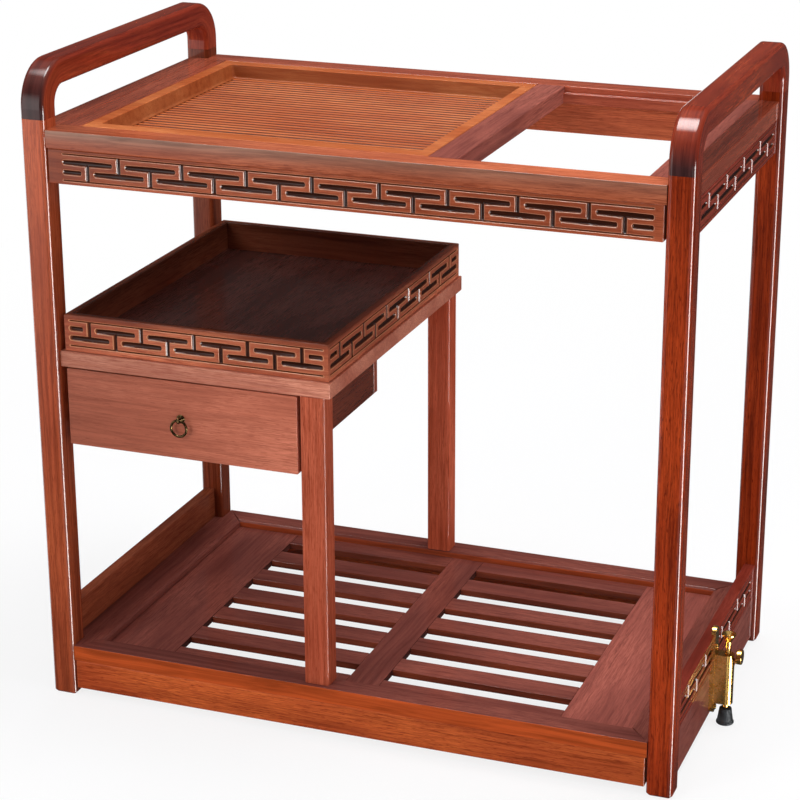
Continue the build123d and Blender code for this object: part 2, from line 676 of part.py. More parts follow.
# Plunger: a rod with a collar for the spring, and a dished pedal
collar_top_z = lever_z - lever_thickness / 2 - lever_slot_play
pedal_z = housing_z[1] + plunger_travel + pedal_clearance + 2 * pedal_dish + pedal_thickness
rod_low_z = foot_clearance + foot_height / 2
with BuildPart() as brake_plunger:
    with BuildSketch(Plane.XY.offset(rod_low_z)):
        with Locations((brake_x, brake_y)):
            Circle(plunger_radius)
    extrude(amount=pedal_z - pedal_dish - rod_low_z)
    with BuildSketch(Plane.XY.offset(collar_top_z - collar_height)):
        with Locations((brake_x, brake_y)):
            Circle(collar_radius)
    extrude(amount=collar_height)
    with BuildSketch(Plane.XZ.offset(-brake_y)):
        with BuildLine():
            Polyline((brake_x, pedal_z - 2 * pedal_dish - pedal_thickness),
                     (brake_x + plunger_radius, pedal_z - 2 * pedal_dish - pedal_thickness),
                     (brake_x + pedal_radius, pedal_z - pedal_thickness),
                     (brake_x + pedal_radius, pedal_z),
                     (brake_x + pedal_radius - pedal_thickness, pedal_z),
                     (brake_x + plunger_radius, pedal_z - pedal_dish),
                     (brake_x, pedal_z - pedal_dish),
                     (brake_x, pedal_z - 2 * pedal_dish - pedal_thickness))
        make_face()
    revolve(axis=Axis((brake_x, brake_y, 0), (0, 0, 1)))
save(brake_plunger, "brake_plunger")

# Rubber foot on the plunger's end
with BuildPart() as brake_foot:
    with BuildSketch(Plane.XZ.offset(-brake_y)):
        Polygon((brake_x, foot_clearance), (brake_x + foot_bottom_radius, foot_clearance),
                (brake_x + foot_top_radius, foot_top_z), (brake_x, foot_top_z), align=None)
    revolve(axis=Axis((brake_x, brake_y, 0), (0, 0, 1)))
    fillet(brake_foot.edges().filter_by(GeomType.CIRCLE), edge_round)
    with BuildSketch(Plane.XY.offset(rod_low_z)):
        with Locations((brake_x, brake_y)):
            Circle(plunger_radius)
    extrude(amount=foot_height, mode=Mode.SUBTRACT)
save(brake_foot, "brake_foot")

# Return spring between the housing's floor and the collar
spring_low_z = cavity_z[0] + spring_wire_radius
spring_height = collar_top_z - collar_height - cavity_z[0] - 2 * spring_wire_radius
with BuildPart() as brake_spring:
    with BuildLine() as coil:
        Helix(spring_height / spring_turns, spring_height, spring_radius,
              center=(brake_x, brake_y, spring_low_z))
    with BuildSketch(Plane(origin=coil.line @ 0, z_dir=coil.line % 0)):
        Circle(spring_wire_radius)
    sweep(is_frenet=True)
save(brake_spring, "brake_spring")

# Release lever: a plate around the plunger, hinged at the plate, with a knob outside the housing
knob_x = face_right_x + lever_reach - knob_thickness
lever_hole_radius = plunger_radius + lever_hole_clearance
with BuildPart() as release_lever:
    with BuildSketch(Plane.XY.offset(lever_z - lever_thickness / 2)):
        with Locations((brake_x, brake_y)):
            Circle(lever_hole_radius + lever_ring_width)
        rectangle((lever_pin_x, knob_x), (brake_y - lever_width / 2, brake_y + lever_width / 2))
        with Locations((brake_x, brake_y)):
            Circle(lever_hole_radius, mode=Mode.SUBTRACT)
    extrude(amount=lever_thickness)
    with BuildSketch(Plane.XZ.offset(-brake_y - lever_width / 2)):
        with Locations((lever_pin_x, lever_z)):
            Circle(lever_barrel_radius)
    extrude(amount=lever_width)
    with BuildSketch(Plane.XZ.offset(-brake_y - lever_width / 2)):
        with Locations((lever_pin_x, lever_z)):
            Circle(lever_pin_radius + lever_pin_clearance)
    extrude(amount=lever_width, mode=Mode.SUBTRACT)
    with BuildSketch(Plane.YZ.offset(knob_x)):
        with Locations((brake_y, lever_z + knob_lift)):
            Circle(knob_radius)
    extrude(amount=knob_thickness)
    fillet(release_lever.edges().filter_by(GeomType.CIRCLE).group_by(SortBy.RADIUS)[-1], knob_round)
save(release_lever, "release_lever")

# Screws of the brake plate
with BuildPart() as brake_screws:
    with BuildSketch(Plane.YZ.offset(plate_face_x)):
        with Locations(*SCREW_HOLES):
            Circle(brake_screw_head_radius)
    extrude(amount=brake_screw_head_height)
    fillet(brake_screws.faces().sort_by(Axis.X)[-2:].edges(), brake_screw_head_height / 2)
    with BuildSketch(Plane.YZ.offset(plate_face_x)):
        with Locations(*SCREW_HOLES):
            Circle(brake_screw_radius)
    extrude(amount=-brake_screw_length)
save(brake_screws, "brake_screws")
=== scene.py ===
import math

import bpy
import numpy as np
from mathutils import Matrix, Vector


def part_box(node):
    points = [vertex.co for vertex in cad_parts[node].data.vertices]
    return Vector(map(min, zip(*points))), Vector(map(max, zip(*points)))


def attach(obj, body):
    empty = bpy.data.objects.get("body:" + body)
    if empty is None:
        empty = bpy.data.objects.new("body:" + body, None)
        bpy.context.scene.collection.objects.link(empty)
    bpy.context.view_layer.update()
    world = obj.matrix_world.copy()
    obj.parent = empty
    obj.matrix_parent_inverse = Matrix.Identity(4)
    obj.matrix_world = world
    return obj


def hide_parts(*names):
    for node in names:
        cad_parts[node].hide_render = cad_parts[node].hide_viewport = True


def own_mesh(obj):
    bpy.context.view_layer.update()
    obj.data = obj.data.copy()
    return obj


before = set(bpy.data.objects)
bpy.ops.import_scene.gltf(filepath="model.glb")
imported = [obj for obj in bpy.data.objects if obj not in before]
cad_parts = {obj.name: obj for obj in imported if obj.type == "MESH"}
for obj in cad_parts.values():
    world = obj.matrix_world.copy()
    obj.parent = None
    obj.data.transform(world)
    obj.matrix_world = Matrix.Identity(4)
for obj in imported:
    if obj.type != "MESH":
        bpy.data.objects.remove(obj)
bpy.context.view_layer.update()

# Gongfu tea table in stained, lacquered hardwood with aged brass fittings. Metres, in the frame of
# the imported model: +X along the table to the brake, +Y to the back, +Z up.

MM = 0.001
X, Y, Z = np.eye(3)
ARC_STEPS = 5             # facets in a rounded edge
SHARP = math.radians(38)  # a steeper fold than this stays crisp

# Boards
EDGE = 1.2 * MM           # softened edge of a board
FINE_EDGE = 0.3 * MM      # edge that is only eased
RUNNER_EDGE = 0.4 * MM
SHELF_RAIL_EDGE = 0.7 * MM
PANEL_EDGE = 1.0 * MM
CABINET_LEG_EDGE = 4.5 * MM
LEG_EDGE = 5.5 * MM       # rounding of legs and handles
FOOT_BEVEL = 3.0 * MM
EDGE_FADE = 7.0 * MM      # painted highlight and painted shade at a board's edge fade over this much
SIDE_REACH = 0.35 * MM    # a point this near to a section's side lies on it

# Handles
HANDLE_BEND = 54.0 * MM   # outer radius of the bend
STEM_STEPS = 8
BEND_STEPS = 15
STAINED_END = {"left": 85.0 * MM, "right": 38.0 * MM}   # stain fades over this much from a joint
JOINT_STAIN = 1.15        # stain at the joint itself, where 1 is full

# Top frame and trays
LEDGE_WIDTH = 5.0 * MM
LEDGE_DROP = 8.5 * MM
TRAY_DEPTH = 18.0 * MM
TRAY_RIM = (16.0 * MM, 20.0 * MM)
TRAY_CORNER = 5.0 * MM
TRAY_DRAFT = 3.0 * MM
TRAY_COVE = 4.0 * MM
RIB_PITCH = 12.0 * MM
RIB_WIDTH = 10.0 * MM
RIB_HEIGHT = 2.2 * MM
RIB_END = 8.0 * MM
RIB_SUNK = 0.1 * MM       # ribs start this far under the floor
RIB_TIP = 0.02            # share of its width that a rib keeps at its very end
WASTE_FIELD = 28.0 * MM   # border round the raised field
WASTE_STEP = 1.5 * MM
WASTE_CORNER = 0.4 * MM

# Drawer and shelf
RUNNER_WIDTH = 10.0 * MM
SHELF_BEVEL = 3.0 * MM
END_BOARD = 92.0 * MM
CENTRE_BOARD = 44.0 * MM
SLOT_WIDTH = 30.0 * MM
SLAT_WIDTH = 35.0 * MM
SLOT_COUNT = 6
TONGUE = 6.0 * MM

# Metal
RING_RADIUS = 10.2 * MM
RING_WIRE = 1.6 * MM
EYE_RADIUS = 3.0 * MM
EYE_WIRE = 1.15 * MM
SPRING_TURNS = 9
SPRING_STEPS = 24         # facets in one turn
SPRING_RADIUS = 0.7 * MM  # of its wire
FOOT_TAPER = 3.0 * MM

# Wood figure: length and width of its marks, in millimetres
DRIFT_MARK = (240, 70)
FIBRE_MARK = (28, 1.3)
PORE_MARK = (11, 0.9)
FIGURE_WARP = 3.2         # how far the drift bends the streaks
PAINTED_LIGHT_CUT_WALL = "#6a3420"      # painted light on a cut's sloping wall, lighter than its floor

# Carved fret
FRET_DEPTH = 2.5 * MM
FRET_BAR = 7.0 * MM
FRET_STEM = 5.2 * MM
FRET_LINE = 1.8 * MM
FRET_BAR_ROW = 6.0 * MM
FRET_LINE_ROW = 16.0 * MM
FRET_GAP = 8.1 * MM
FRET_LIP = 0.7 * MM       # softened rim outside a cut's edge
FRET_WALL = 1.6 * MM      # a cut's wall slopes over this much inside its edge
WALL_LINES = np.array([-1.0, -0.5, 0.0, 0.5, 1.1, 1.8]) * MM   # grid lines, from the edge inwards
LINE_CLEAR = 3.0 * MM     # no such line nearer to a board's end
LINE_GAP = (0.3 * MM, 0.25 * MM)   # closest lines along and across a board
FRONT_FRET = {"margin": 15 * MM, "stems": 17, "upturned": False, "shift": 4 * MM}
BACK_FRET = {"margin": 15 * MM, "stems": 17, "upturned": False}
END_FRET = {"margin": 20 * MM, "stems": 8, "upturned": True}
SIDE_BOARD_FRET = {"margin": 22 * MM, "stems": 8, "upturned": True}
TRAY_FRONT_FRET = {"margin": 6 * MM, "stems": 9, "upturned": True}
TRAY_END_FRET = {"margin": 6 * MM, "stems": 11, "upturned": True}


# ---- meshes

def box(node):
    """Lowest and highest corner of a node."""
    return [np.array(corner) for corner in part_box(node)]


def linked(name, data):
    """A new object in the scene."""
    obj = bpy.data.objects.new(name, data)
    bpy.context.scene.collection.objects.link(obj)
    return obj


def joined(sheets):
    """Points, faces and attributes of several grids.

    A grid is rows by columns. Four neighbours make a face, and the last column joins the first.
    """
    points, faces, grains, stain_and_painted_light_values, shades = [], [], [], [], []
    start = 0
    for sheet in sheets:
        grid = sheet["points"]
        rows, columns = grid.shape[:2]
        index = start + np.arange(rows * columns).reshape(rows, columns)
        right = np.roll(index, -1, axis=1)
        quads = np.stack([index[:-1], right[:-1], right[1:], index[1:]], -1).reshape(-1, 4)
        caps = [list(index[0][::-1]), list(index[-1])] if sheet.get("caps", True) else []
        if sheet.get("flip"):
            quads = quads[:, ::-1]
            caps = [cap[::-1] for cap in caps]
        faces += quads.tolist() + caps
        points.append(grid.reshape(-1, 3))
        grains.append(sheet.get("grain", grid).reshape(-1, 3))
        for values, key, plain in ((stain_and_painted_light_values, "hollow", 0.0), (shades, "shade", 1.0)):
            values.append(np.broadcast_to(sheet.get(key, plain), (rows, columns)).reshape(-1))
        start += rows * columns
    points, grains, stain_and_painted_light_values, shades = map(np.concatenate, (points, grains, stain_and_painted_light_values, shades))
    return points, faces, grains, stain_and_painted_light_values, shades


def piece(name, sheets, finish, body, nodes):
    """Make one object from grids of points; it rides on a body and stands for the CAD nodes named.

    Its points carry their place in the wood (grain), the share of a second colour, which in a cut
    grows with its depth (a stain with painted shade in a cut, a stain at a joint, painted light and
    painted sheen on some faces), and a painted light and shade that scales their colour (shade).
    """
    points, faces, grain, hollow, shade = joined(sheets)
    mesh = bpy.data.meshes.new(name)
    mesh.from_pydata(points.tolist(), [], faces)
    mesh.attributes.new("grain", "FLOAT_VECTOR", "POINT").data.foreach_set("vector", grain.ravel())
    for attribute, values in (("hollow", hollow), ("shade", shade)):
        mesh.attributes.new(attribute, "FLOAT", "POINT").data.foreach_set("value", values)
    mesh.polygons.foreach_set("use_smooth", np.ones(len(mesh.polygons), bool))
    mesh.materials.append(finish)
    mesh.set_sharp_from_angle(angle=SHARP)
    obj = linked(name, mesh)
    weighted = obj.modifiers.new("even_shading", "WEIGHTED_NORMAL")
    weighted.keep_sharp = True
    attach(obj, body)
    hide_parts(*nodes)
    return obj


def rounded_section(across, through, radii, front=()):
    """Rounded rectangle: each corner's centre plus its radius times the direction of the arc.

    Returns its points and outward directions. `front` are more points on the side of low `through`.
    """
    turn = np.linspace(0, 1, ARC_STEPS + 1)
    angle = np.radians(-90 + 90 * (np.arange(4)[:, None] + turn))
    outward = np.stack([np.cos(angle), np.sin(angle)], -1)
    radius = np.broadcast_to(radii, 4)[:, None]
    high_a, high_t = np.array([[1, 1, 0, 0], [0, 1, 1, 0]], bool)[..., None]
    centre = np.stack([np.where(high_a, across[1] - radius, across[0] + radius),
                       np.where(high_t, through[1] - radius, through[0] + radius)], -1)
    points = (centre + radius[..., None] * outward).reshape(-1, 2)
    front = np.asarray(front, float)
    more = np.column_stack([front, np.full(len(front), through[0])])
    return (np.vstack([points, more]),
            np.vstack([outward.reshape(-1, 2), np.tile([0.0, -1.0], (len(front), 1))]))


def polygon_section(corners, radius):
    """Outline with softened corners: each corner is cut back by `radius` and bridged by an arc.

    The arc is a quadratic curve from one cut to the other with the corner as its control point.
    """
    corners = np.asarray(corners, float)
    before = np.roll(corners, 1, axis=0) - corners
    after = np.roll(corners, -1, axis=0) - corners
    low = corners + radius * before / np.linalg.norm(before, axis=1, keepdims=True)
    high = corners + radius * after / np.linalg.norm(after, axis=1, keepdims=True)
    turn = np.linspace(0, 1, ARC_STEPS + 1)[None, :, None]
    curve = ((1 - turn) ** 2 * low[:, None] + 2 * turn * (1 - turn) * corners[:, None]
             + turn ** 2 * high[:, None])
    points = curve.reshape(-1, 2)
    return points, np.zeros_like(points)


def rounded_ends(low, high, rounding, between=(), bevel=None):
    """Places along a bar and how far the section shrinks there: a quarter circle at each end.

    With t the angle, the place is r(1 - sin t) from the end and the shrink is r(1 - cos t).
    """
    angle = np.radians(np.linspace(90, 0, ARC_STEPS))
    place = rounding * (1 - np.sin(angle))
    shrink = rounding * (1 - np.cos(angle))
    first, first_shrink = place, shrink
    if bevel is not None:
        first, first_shrink = np.array([0, bevel]), np.array([bevel, 0])
    between = np.asarray(between, float)
    return (np.concatenate([low + first, between, high - place[::-1]]),
            np.concatenate([first_shrink, np.zeros(len(between)), shrink[::-1]]))


def carried(section, stations, axes, relief=None, relief_lines=0, mitre=None, offset=(0, 0, 0),
            shade=(1.0, 1.0), inside=1.0, edges=(1.0, 1.0)):
    """Carry a section along a straight line: point = section point - shrink x its direction.

    `axes` holds the origin and the directions along, across and through. The last `relief_lines`
    points of the section sink by relief(along, across). A mitre is a column of the section and a
    slope: it shortens each line by slope x the column's size. The shade, a painted light and
    shade, goes evenly from one end to the other and is `inside` times that on the far side of the
    section, painted shade there when below 1 and painted light when above. `edges` are painted
    light and shade at its lower and upper edge, which fade over EDGE_FADE.
    """
    points, outward = section
    place, shrink = stations
    flat = points[None] - shrink[:, None, None] * outward[None]
    along = np.repeat(place[:, None], len(points), axis=1)
    hollow = np.zeros(along.shape)
    if relief is not None:
        lines = slice(len(points) - relief_lines, None)
        depth = relief(along[:, lines], flat[:, lines, 0])
        flat[:, lines, 1] += depth
        hollow[:, lines] = depth / FRET_DEPTH
    if mitre is not None:
        column, slope = mitre
        cut = slope * np.abs(flat[..., column])
        share = (along - place[0]) / (place[-1] - place[0])
        along = along + cut * (1 - 2 * share)
    local = np.dstack([along, flat])
    origin, directions = axes
    tone = np.interp(along, (place[0], place[-1]), shade)
    tone = tone * np.where(flat[..., 1] > points[:, 1].mean(), inside, 1.0)
    for edge, side in zip(edges, (points[:, 0].min(), points[:, 0].max())):
        tone = tone * np.interp(np.abs(flat[..., 0] - side), (0, EDGE_FADE), (edge, 1.0))
    return {"points": origin + local @ directions, "grain": local + np.asarray(offset),
            "hollow": hollow, "shade": tone, "flip": np.linalg.det(directions) < 0}


def by_side(points, low, rest, high):
    """Value for each point of a section: `low` and `high` on its two side faces, `rest` between."""
    across = points[:, 0]
    above = np.where(across > across.max() - SIDE_REACH, high, rest)
    return np.where(across < across.min() + SIDE_REACH, low, above)


def box_axes(node, face, length):
    """Limits of a node's box, and its directions: along `length`, across, inwards from `face`."""
    low, high = box(node)
    through = {"x": X, "y": Y, "z": Z}[face[1]] * (1 if face[0] == "-" else -1)
    along = {"x": X, "y": Y, "z": Z}[length]
    across = np.abs(np.cross(along, through))
    origin = np.where(through > 0, low, np.where(through < 0, high, 0.0))
    limits = [(low @ np.abs(d), high @ np.abs(d)) for d in (along, across)]
    depth = (high - low) @ np.abs(through)
    return origin * np.abs(through), np.array([along, across, through]), limits, depth


def own_offset(name):
    """A place of its own in the wood for each piece, from the letters of its name."""
    code = sum((n + 3) * ord(letter) for n, letter in enumerate(name))
    return code * np.array([0.137, 0.071, 0.193]) % (5, 2, 2)


def board(node, face, length, finish, edge=EDGE, end_edge=None, fret=None,
          bevel=None, body="table", shade=(1.0, 1.0), inside=1.0, edges=(1.0, 1.0), mitre=None):
    """A straight board in the box of a node, with softened edges, and the fret on `face` if any."""
    origin, directions, (along, across), depth = box_axes(node, face, length)
    end_edge = np.min(edge) if end_edge is None else end_edge
    lines, between, relief = (), (), None
    if fret:
        lines, between, relief = fret_lines(along, across, fret)
    section = rounded_section(across, (0, depth), edge, lines)
    stations = rounded_ends(along[0], along[1], end_edge, between, bevel)
    sheet = carried(section, stations, (origin, directions), relief, len(lines), mitre,
                    own_offset(node), shade, inside, edges)
    piece(node + "_timber", [sheet], finish, body, [node])


# ---- carving

def fret_layout(length, fret):
    """Measures of a fret whose field holds stems + 1 half pitches less two gaps."""
    field = length - 2 * fret["margin"]
    half_pitch = (field + 2 * FRET_GAP) / (fret["stems"] + 1)
    number = np.arange(fret["stems"])
    places = (number - (fret["stems"] - 1) / 2) * half_pitch
    sides = np.where((number % 2 == 0) == fret["upturned"], -1, 1)
    return field, half_pitch, 2 * half_pitch - 2 * FRET_GAP, places, sides


def fret_cut(along, across, field, half_pitch, bar, places, sides):
    """Depth of the carved fret at arrays of places, measured from the middle of the board.

    Each cut is a straight slot given by the distance to its edge, negative inside. With t the
    share of the way from the rim's lip to the wall's foot, the depth is full depth x t^2 (3 - 2t).
    """
    distance = np.full(along.shape, 1.0)

    def slot(middle_a, middle_c, half_a, half_c, rounding):
        nonlocal distance
        off_a = np.abs(along - middle_a) - (half_a - rounding)
        off_c = np.abs(across - middle_c) - (half_c - rounding)
        outside = np.hypot(np.maximum(off_a, 0), np.maximum(off_c, 0))
        inside = np.minimum(np.maximum(off_a, off_c), 0)
        distance = np.minimum(distance, outside + inside - rounding)

    for row in (-FRET_LINE_ROW, FRET_LINE_ROW):
        slot(0, row, field / 2, FRET_LINE / 2, FRET_LINE / 2)
    stem = FRET_BAR_ROW + FRET_LINE_ROW
    for number, (place, side) in enumerate(zip(places, sides)):
        slot(place, side * FRET_BAR_ROW, bar / 2, FRET_BAR / 2, FRET_BAR / 2)
        slot(place, side * (FRET_BAR_ROW - stem / 2), FRET_STEM / 2, stem / 2, 0)
        if number in (0, len(places) - 1):
            stub = half_pitch - 2 * FRET_GAP
            end = -1 if number == 0 else 1
            middle = end * (field - stub) / 2
            slot(middle, -side * FRET_BAR_ROW, stub / 2, FRET_BAR / 2, FRET_BAR / 2)
    rise = np.clip((FRET_LIP - distance) / (FRET_LIP + FRET_WALL), 0, 1)
    return FRET_DEPTH * rise * rise * (3 - 2 * rise)


def lines_near(places, limits, closest):
    """Sorted grid lines at the places inside the limits, thinned where they lie too close."""
    lines = np.sort(places)
    lines = lines[(lines > limits[0]) & (lines < limits[1])]
    kept = [lines[0]]
    for line in lines[1:]:
        if line - kept[-1] >= closest:
            kept.append(line)
    return np.array(kept)


def fret_lines(along, across, fret):
    """Grid lines that follow the carved fret's edges, and its depth as a function of the place."""
    layout = fret_layout(along[1] - along[0], fret)
    field, half_pitch, bar, places, _ = layout
    middle = sum(along) / 2 + fret.get("shift", 0.0), sum(across) / 2
    stub = half_pitch - 2 * FRET_GAP
    low_ends = np.concatenate([places - bar / 2, places - FRET_STEM / 2,
                               [-field / 2, field / 2 - stub]])
    high_ends = np.concatenate([places + bar / 2, places + FRET_STEM / 2,
                                [field / 2, stub - field / 2]])
    walls = np.concatenate([np.add.outer(low_ends, WALL_LINES).ravel(),
                            np.subtract.outer(high_ends, WALL_LINES).ravel()]) + middle[0]
    between = lines_near(walls, (along[0] + LINE_CLEAR, along[1] - LINE_CLEAR), LINE_GAP[0])
    cross = [up * row + side * np.append(half - WALL_LINES[WALL_LINES < half], 0)
             for row, half in ((FRET_BAR_ROW, FRET_BAR / 2), (FRET_LINE_ROW, FRET_LINE / 2))
             for up in (-1, 1) for side in (-1, 1)]
    lines = lines_near(np.concatenate(cross), (-1, 1), LINE_GAP[1]) + middle[1]
    lines = lines[(lines > across[0] + 1.3 * EDGE) & (lines < across[1] - 1.3 * EDGE)]

    def relief(a, c):
        return fret_cut(a - middle[0], c - middle[1], *layout)

    return lines, between, relief


# ---- materials

def linear(hex_colour):
    """Linear RGBA of an sRGB hex value."""
    value = np.array([int(hex_colour[i:i + 2], 16) for i in (1, 3, 5)]) / 255
    light = np.where(value <= 0.04045, value / 12.92, ((value + 0.055) / 1.055) ** 2.4)
    return (*light, 1.0)


def add(tree, kind, sockets=None, **settings):
    """Add a shader node, with its settings, and link or set its inputs."""
    node = tree.nodes.new("ShaderNode" + kind)
    for name, value in settings.items():
        setattr(node, name, value)
    for name, value in (sockets or {}).items():
        if isinstance(value, bpy.types.NodeSocket):
            tree.links.new(value, node.inputs[name])
        else:
            node.inputs[name].default_value = value
    return node


def new_finish(name):
    """An empty node material with its output and a principled shader."""
    material = bpy.data.materials.new(name)
    material.use_nodes = True
    tree = material.node_tree
    tree.nodes.clear()
    shader = add(tree, "BsdfPrincipled")
    output = add(tree, "OutputMaterial", {"Surface": shader.outputs["BSDF"]})
    output.location = (300, 0)
    return material, tree, shader


def set_sockets(shader, **values):
    """Set constant inputs of a shader by name, with underscores for spaces."""
    for name, value in values.items():
        shader.inputs[name.replace("_", " ").title().replace("Ior", "IOR")].default_value = value


def blend_colour(tree, share, low, high):
    """Colour between two others by a share of 0 to 1."""
    return add(tree, "Mix", {0: share, 6: low, 7: high}, data_type="RGBA").outputs[2]


def combine(tree, operation, first, second):
    """Two values put together by the named operation."""
    return add(tree, "Math", {0: first, 1: second}, operation=operation).outputs[0]


def scaled(tree, colour, share):
    """A colour or direction times a value."""
    return add(tree, "VectorMath", {0: colour, "Scale": share}, operation="SCALE").outputs[0]


def spread(tree, value, low, high, to_low=0.0, to_high=1.0):
    """Stretch a value's range from low..high to to_low..to_high, with smooth ends."""
    step = add(tree, "MapRange", {"Value": value, "From Min": low, "From Max": high,
                                  "To Min": to_low, "To Max": to_high},
               interpolation_type="SMOOTHSTEP")
    return step.outputs["Result"]


def hardwood(name, light, middle, dark, streak=7.0, streak_length=260.0, contrast=1.0, pores=0.55,
             gloss=0.1, stain_and_painted_light_colour=None, coat=0.9, stain_and_painted_light_reach=(0.4, 0.9), rim=None):
    """Close-pored hardwood, stained red-brown and sprayed with clear lacquer.

    Stain gathers in the soft early wood, which gives long streaks; open pores stay as short dark
    dashes; the lacquer lies over both and gives the sharp highlights. Sizes are in millimetres.
    """
    material, tree, shader = new_finish(name)
    wood = add(tree, "Attribute", attribute_name="grain").outputs["Vector"]

    def stretched(length, width):
        scale = 1 / (length * MM), 1 / (width * MM), 1 / (width * MM)
        return add(tree, "Mapping", {"Vector": wood, "Scale": scale}).outputs["Vector"]

    def noise(place, detail, **more):
        return add(tree, "TexNoise", {"Vector": place, "Scale": 1.0, "Detail": detail, **more})

    drift = noise(stretched(*DRIFT_MARK), 2.0)
    warp = add(tree, "VectorMath", {0: drift.outputs["Color"], 1: (0.5, 0.5, 0.5)},
               operation="SUBTRACT")
    bend = scaled(tree, warp.outputs[0], FIGURE_WARP)
    rings = add(tree, "VectorMath", {0: stretched(streak_length, streak), 1: bend},
                operation="ADD")
    figure = noise(rings.outputs[0], 5.0, Roughness=0.62)
    fibre = noise(stretched(*FIBRE_MARK), 3.0, Roughness=0.7)
    pore = noise(stretched(*PORE_MARK), 1.0)

    reach = 0.22 / contrast
    streaks = spread(tree, figure.outputs["Fac"], 0.5 - reach, 0.5 + reach)
    tone = spread(tree, drift.outputs["Fac"], 0.32, 0.68)
    fine = spread(tree, fibre.outputs["Fac"], 0.3, 0.72)
    colour = blend_colour(tree, streaks, linear(dark), linear(middle))
    colour = blend_colour(tree, combine(tree, "MULTIPLY", tone, fine), colour, linear(light))
    open_pore = spread(tree, pore.outputs["Fac"], 0.60, 0.70, 0.0, pores)
    colour = blend_colour(tree, open_pore, colour, linear(dark))
    height = combine(tree, "SUBTRACT", fine, open_pore)
    # Painted light and shade: the shade attribute scales the stained colour.
    shade = add(tree, "Attribute", attribute_name="shade").outputs["Fac"]
    colour = scaled(tree, colour, shade)
    if stain_and_painted_light_colour:
        hollow = add(tree, "Attribute", attribute_name="hollow").outputs["Fac"]
        uneven = add(tree, "Math", {0: drift.outputs["Fac"], 1: 0.3, 2: -0.15},
                     operation="MULTIPLY_ADD").outputs[0]
        # Painted highlight on a cut's lip (rim) and painted light on its sloping wall.
        if rim:
            lip = add(tree, "MapRange", {"Value": hollow, "From Min": 0.0, "From Max": 0.06})
            colour = blend_colour(tree, lip.outputs[0], colour, linear(rim))
            wall = spread(tree, hollow, 0.12, 0.4)
            colour = blend_colour(tree, wall, colour, linear(PAINTED_LIGHT_CUT_WALL))
        # Second colour: a stain in cuts and at joints, with painted shade in cuts and grooves, and
        # painted sheen and painted light on some faces.
        stain_and_painted_light_share = spread(tree, combine(tree, "ADD", hollow, uneven), *stain_and_painted_light_reach)
        grained = spread(tree, figure.outputs["Fac"], 0.3, 0.7, 0.6, 1.2)
        colour = blend_colour(tree, stain_and_painted_light_share, colour, scaled(tree, linear(stain_and_painted_light_colour)[:3], grained))
    tree.links.new(colour, shader.inputs["Base Color"])
    rough = spread(tree, fibre.outputs["Fac"], 0.2, 0.8, 0.30, 0.44)
    tree.links.new(rough, shader.inputs["Roughness"])
    bump = add(tree, "Bump", {"Height": height, "Strength": 0.12, "Distance": 0.12 * MM})
    tree.links.new(bump.outputs["Normal"], shader.inputs["Normal"])
    set_sockets(shader, coat_weight=coat, coat_roughness=gloss, coat_IOR=1.45,
                specular_ior_level=0.0)
    return material


def metal(name, clean, worn, roughness, spot):
    """Turned and plated metal: a soft mottled tarnish, brighter where it is rubbed."""
    material, tree, shader = new_finish(name)
    place = add(tree, "TexCoord").outputs["Object"]
    mottle = add(tree, "TexNoise", {"Vector": place, "Scale": 1 / (spot * MM), "Detail": 4.0,
                                    "Roughness": 0.65})
    share = spread(tree, mottle.outputs["Fac"], 0.35, 0.7)
    colour = blend_colour(tree, share, linear(clean), linear(worn))
    tree.links.new(colour, shader.inputs["Base Color"])
    rough = spread(tree, mottle.outputs["Fac"], 0.3, 0.75, roughness * 0.75, roughness * 1.4)
    tree.links.new(rough, shader.inputs["Roughness"])
    set_sockets(shader, metallic=1.0)
    return material


def rubber_finish():
    """Moulded black rubber: matt, with the fine grain of the mould and a little dust."""
    material, tree, shader = new_finish("moulded_rubber")
    place = add(tree, "TexCoord").outputs["Object"]
    grain = add(tree, "TexNoise", {"Vector": place, "Scale": 1 / (0.8 * MM), "Detail": 3.0})
    dust = add(tree, "TexNoise", {"Vector": place, "Scale": 1 / (9 * MM), "Detail": 2.0})
    share = spread(tree, dust.outputs["Fac"], 0.4, 0.75)
    colour = blend_colour(tree, share, linear("#202224"), linear("#34373a"))
    tree.links.new(colour, shader.inputs["Base Color"])
    bump = add(tree, "Bump", {"Height": grain.outputs["Fac"], "Strength": 0.3,
                              "Distance": 0.1 * MM})
    tree.links.new(bump.outputs["Normal"], shader.inputs["Normal"])
    set_sockets(shader, roughness=0.62)
    return material


ROSE_LEG = hardwood("rose_brown_leg", "#be5e38", "#a84c2c", "#712c16", 3.5, 300, 1.1, 0.6)
ORANGE_LEG = hardwood("orange_brown_leg", "#b5441a", "#933010", "#571505", 3.2, 260, 1.4, 0.85)
CABINET_LEG = hardwood("satin_cabinet_leg", "#be6246", "#a74d34", "#772f1b", 4, 300, 0.9, 0.5,
                       coat=0.3)
RED_RAIL = hardwood("red_brown_rail", "#b96146", "#9c4a33", "#702c1e", 6, 340, 0.8, 0.45)
